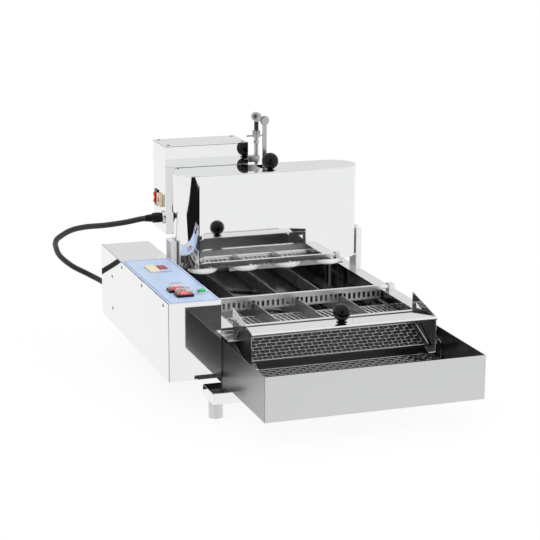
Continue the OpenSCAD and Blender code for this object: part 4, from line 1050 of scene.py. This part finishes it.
class FRYER_OT_stage(bpy.types.Operator):
    """Sets a white floor and backdrop, a dark screen behind the camera and soft lamps"""
    bl_idname = "fryer.stage"
    bl_label = "Stage"

    def execute(self, context):
        self.flat("floor", [(-6, -6, 0), (6, -6, 0), (6, 6, 0), (-6, 6, 0)], self.floor_finish())
        self.flat("backdrop", [(-6, 4, 0), (6, 4, 0), (6, 4, 6), (-6, 4, 6)], self.backdrop_finish())
        dark = surface("dark_screen", (0.01, 0.01, 0.01), metallic=0.0, roughness=0.9, spread=0.05)
        corners = [(-2.4, -3.7, 0), (0.3, -3.7, 0), (0.3, -3.7, 3.2), (-2.4, -3.7, 3.2)]
        self.flat("screen", corners, dark).visible_camera = False
        self.surrounding(context.scene)
        self.lamp("key", (-1.6, -2.2, 2.6), size=2.0, power=55.0)
        self.lamp("fill", (2.4, -1.6, 1.8), size=2.0, power=25.0)
        self.lamp("top", (0.2, 0.6, 3.0), size=2.5, power=40.0)
        self.lamp("low", (0.3, -3.0, 0.35), size=0.6, power=16.0)
        self.lamp("nozzle", (-0.1, -1.6, 0.3), size=0.6, power=20.0, only="nozzles_dressed")
        context.scene.view_settings.view_transform = "Standard"
        return {"FINISHED"}

    def flat(self, name, corners, finish):
        """A flat sheet between four corners that belongs to the stage."""
        mesh = bpy.data.meshes.new(name)
        mesh.from_pydata(corners, [], [(0, 1, 2, 3)])
        mesh.materials.append(finish)
        sheet = bpy.data.objects.new(name, mesh)
        bpy.context.scene.collection.objects.link(sheet)
        return sheet

    def floor_finish(self):
        """Pale and matt, with painted shade that the camera doesn't see: a dark mat under the machine in
        place of its shadow, and one in front of the control box that mirrors show as a dark reflection.
        Mirrors show the rest of it glow. The camera sees it glow white, with a share of the matt floor, and
        so of the shadow, that fades with the distance from the middle."""
        pale, mirror_shade = (0.84, 0.84, 0.84), (0.012, 0.012, 0.012)
        shadow, mirror_glow, inset = 0.12, 1.01, 0.01
        finish = surface("pale_floor", pale, metallic=0.0, roughness=0.9, spread=0.05)
        tree = finish.node_tree
        path = tree.nodes.new("ShaderNodeLightPath")
        control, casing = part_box("control_box"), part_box("tank_casing")
        # Painted shade for mirrors only: a dark mat under the machine stands in for its shadow, one in front
        # of the control box gives a dark reflection
        front = self.patch(tree, (-1.4, -1.6), (-0.2, -0.32))
        under = self.patch(tree, (control[0].x + inset, 0.0), (casing[1].x, casing[1].y))
        shade_mats = calc(tree, "MAXIMUM", front, under)
        hidden = calc(tree, "SUBTRACT", 1.0, path.outputs["Is Camera Ray"])
        two_colours(finish, both(tree, shade_mats, hidden), pale, mirror_shade)
        place = tree.nodes.new("ShaderNodeTexCoord")
        fade = tree.nodes.new("ShaderNodeTexGradient")
        fade.gradient_type = "SPHERICAL"
        wire_up(tree, place, "Object", fade, "Vector")
        shown = calc(tree, "SUBTRACT", 1.0, calc(tree, "MULTIPLY", fade.outputs["Fac"], shadow))
        mirrored = tree.nodes.new("ShaderNodeEmission")
        tree.links.new(calc(tree, "SUBTRACT", mirror_glow, shade_mats), mirrored.inputs["Strength"])
        others = self.mixed(tree, path.outputs["Is Glossy Ray"], tree.nodes["Principled BSDF"], mirrored)
        self.glow(tree, calc(tree, "MULTIPLY", path.outputs["Is Camera Ray"], shown), others)
        return finish

    def patch(self, tree, low, high):
        """1 inside a rectangle of the floor, 0 outside."""
        across = both(tree, past(tree, "X", low[0]), short_of(tree, "X", high[0]))
        along = both(tree, past(tree, "Y", low[1]), short_of(tree, "Y", high[1]))
        return both(tree, across, along)

    def backdrop_finish(self):
        """Glows white for the camera and a little less in mirrors."""
        finish = bpy.data.materials.new("dress_backdrop")
        finish.use_nodes = True
        tree = finish.node_tree
        dim = tree.nodes.new("ShaderNodeEmission")
        dim.inputs["Strength"].default_value = 0.8
        path = tree.nodes.new("ShaderNodeLightPath")
        self.glow(tree, path.outputs["Is Camera Ray"], dim)
        return finish

    def mixed(self, tree, share, first, second):
        """Mixes two shaders by a share: the first at 0, the second at 1."""
        mix = tree.nodes.new("ShaderNodeMixShader")
        tree.links.new(share, mix.inputs["Fac"])
        tree.links.new(first.outputs[0], mix.inputs[1])
        tree.links.new(second.outputs[0], mix.inputs[2])
        return mix

    def glow(self, tree, share, other):
        """Mixes a white glow by a share over another shader and puts it out."""
        white = tree.nodes.new("ShaderNodeEmission")
        white.inputs["Strength"].default_value = 1.0
        seen = self.mixed(tree, share, other, white)
        wire_up(tree, seen, "Shader", tree.nodes["Material Output"], "Surface")

    def sight(self, tree):
        """1 for rays from the camera and for mirrored or refracted ones, 0 for light on matt surfaces."""
        path = tree.nodes.new("ShaderNodeLightPath")
        bounced = calc(tree, "MAXIMUM", path.outputs["Is Glossy Ray"], path.outputs["Is Transmission Ray"])
        return calc(tree, "MAXIMUM", path.outputs["Is Camera Ray"], bounced)

    def surrounding(self, scene):
        """A white studio: full white where it is seen or mirrored, and less as light on matt surfaces."""
        world = bpy.data.worlds.new("white_studio")
        world.use_nodes = True
        scene.world = world
        tree = world.node_tree
        light = tree.nodes["Background"]
        white = tree.nodes.new("ShaderNodeBackground")
        for background, strength in ((light, 0.55), (white, 1.0)):
            background.inputs["Color"].default_value = (1.0, 1.0, 1.0, 1.0)
            background.inputs["Strength"].default_value = strength
        seen = self.mixed(tree, self.sight(tree), light, white)
        wire_up(tree, seen, "Shader", tree.nodes["World Output"], "Surface")

    def lamp(self, name, place, size, power, only=None):
        """A square soft lamp that faces the machine's middle and doesn't show in mirrors. It lights
        everything, or only the one piece named."""
        light = bpy.data.lights.new(name, "AREA")
        light.size = size
        light.energy = power
        lamp = bpy.data.objects.new(name, light)
        lamp.location = place
        lamp.visible_glossy = False
        towards = (CAD_BOX[0] + CAD_BOX[1]) / 2 - lamp.location
        lamp.rotation_euler = towards.to_track_quat("-Z", "Y").to_euler()
        bpy.context.scene.collection.objects.link(lamp)
        if only:
            lit = bpy.data.collections.new(name)
            lit.objects.link(bpy.data.objects[only])
            lamp.light_linking.receiver_collection = lit


class FRYER_PT_pieces(bpy.types.Panel):
    """Lists the steps that dress the fryer"""
    bl_label = "Donut fryer"
    bl_space_type = "VIEW_3D"
    bl_region_type = "UI"
    bl_category = "Fryer"

    def draw(self, context):
        for step in STEPS:
            self.layout.operator(step.bl_idname)


STEPS = (FRYER_OT_camera, FRYER_OT_cable, FRYER_OT_sheet_metal, FRYER_OT_wire_mesh, FRYER_OT_knobs,
         FRYER_OT_screws, FRYER_OT_linkage, FRYER_OT_panel, FRYER_OT_seams, FRYER_OT_stage)
CLASSES = (FryerSizes, FryerColours, *STEPS, FRYER_PT_pieces)


def register():
    for item in CLASSES:
        bpy.utils.register_class(item)
    bpy.types.Scene.fryer_sizes = PointerProperty(type=FryerSizes)
    bpy.types.Scene.fryer_colours = PointerProperty(type=FryerColours)


def unregister():
    del bpy.types.Scene.fryer_colours
    del bpy.types.Scene.fryer_sizes
    for item in reversed(CLASSES):
        bpy.utils.unregister_class(item)


def main():
    register()
    bpy.ops.fryer.camera()
    bpy.ops.fryer.cable()
    bpy.ops.fryer.sheet_metal()
    bpy.ops.fryer.wire_mesh()
    bpy.ops.fryer.knobs()
    bpy.ops.fryer.screws()
    bpy.ops.fryer.linkage()
    bpy.ops.fryer.panel()
    bpy.ops.fryer.seams()
    bpy.ops.fryer.stage()


if __name__ == "__main__":
    main()
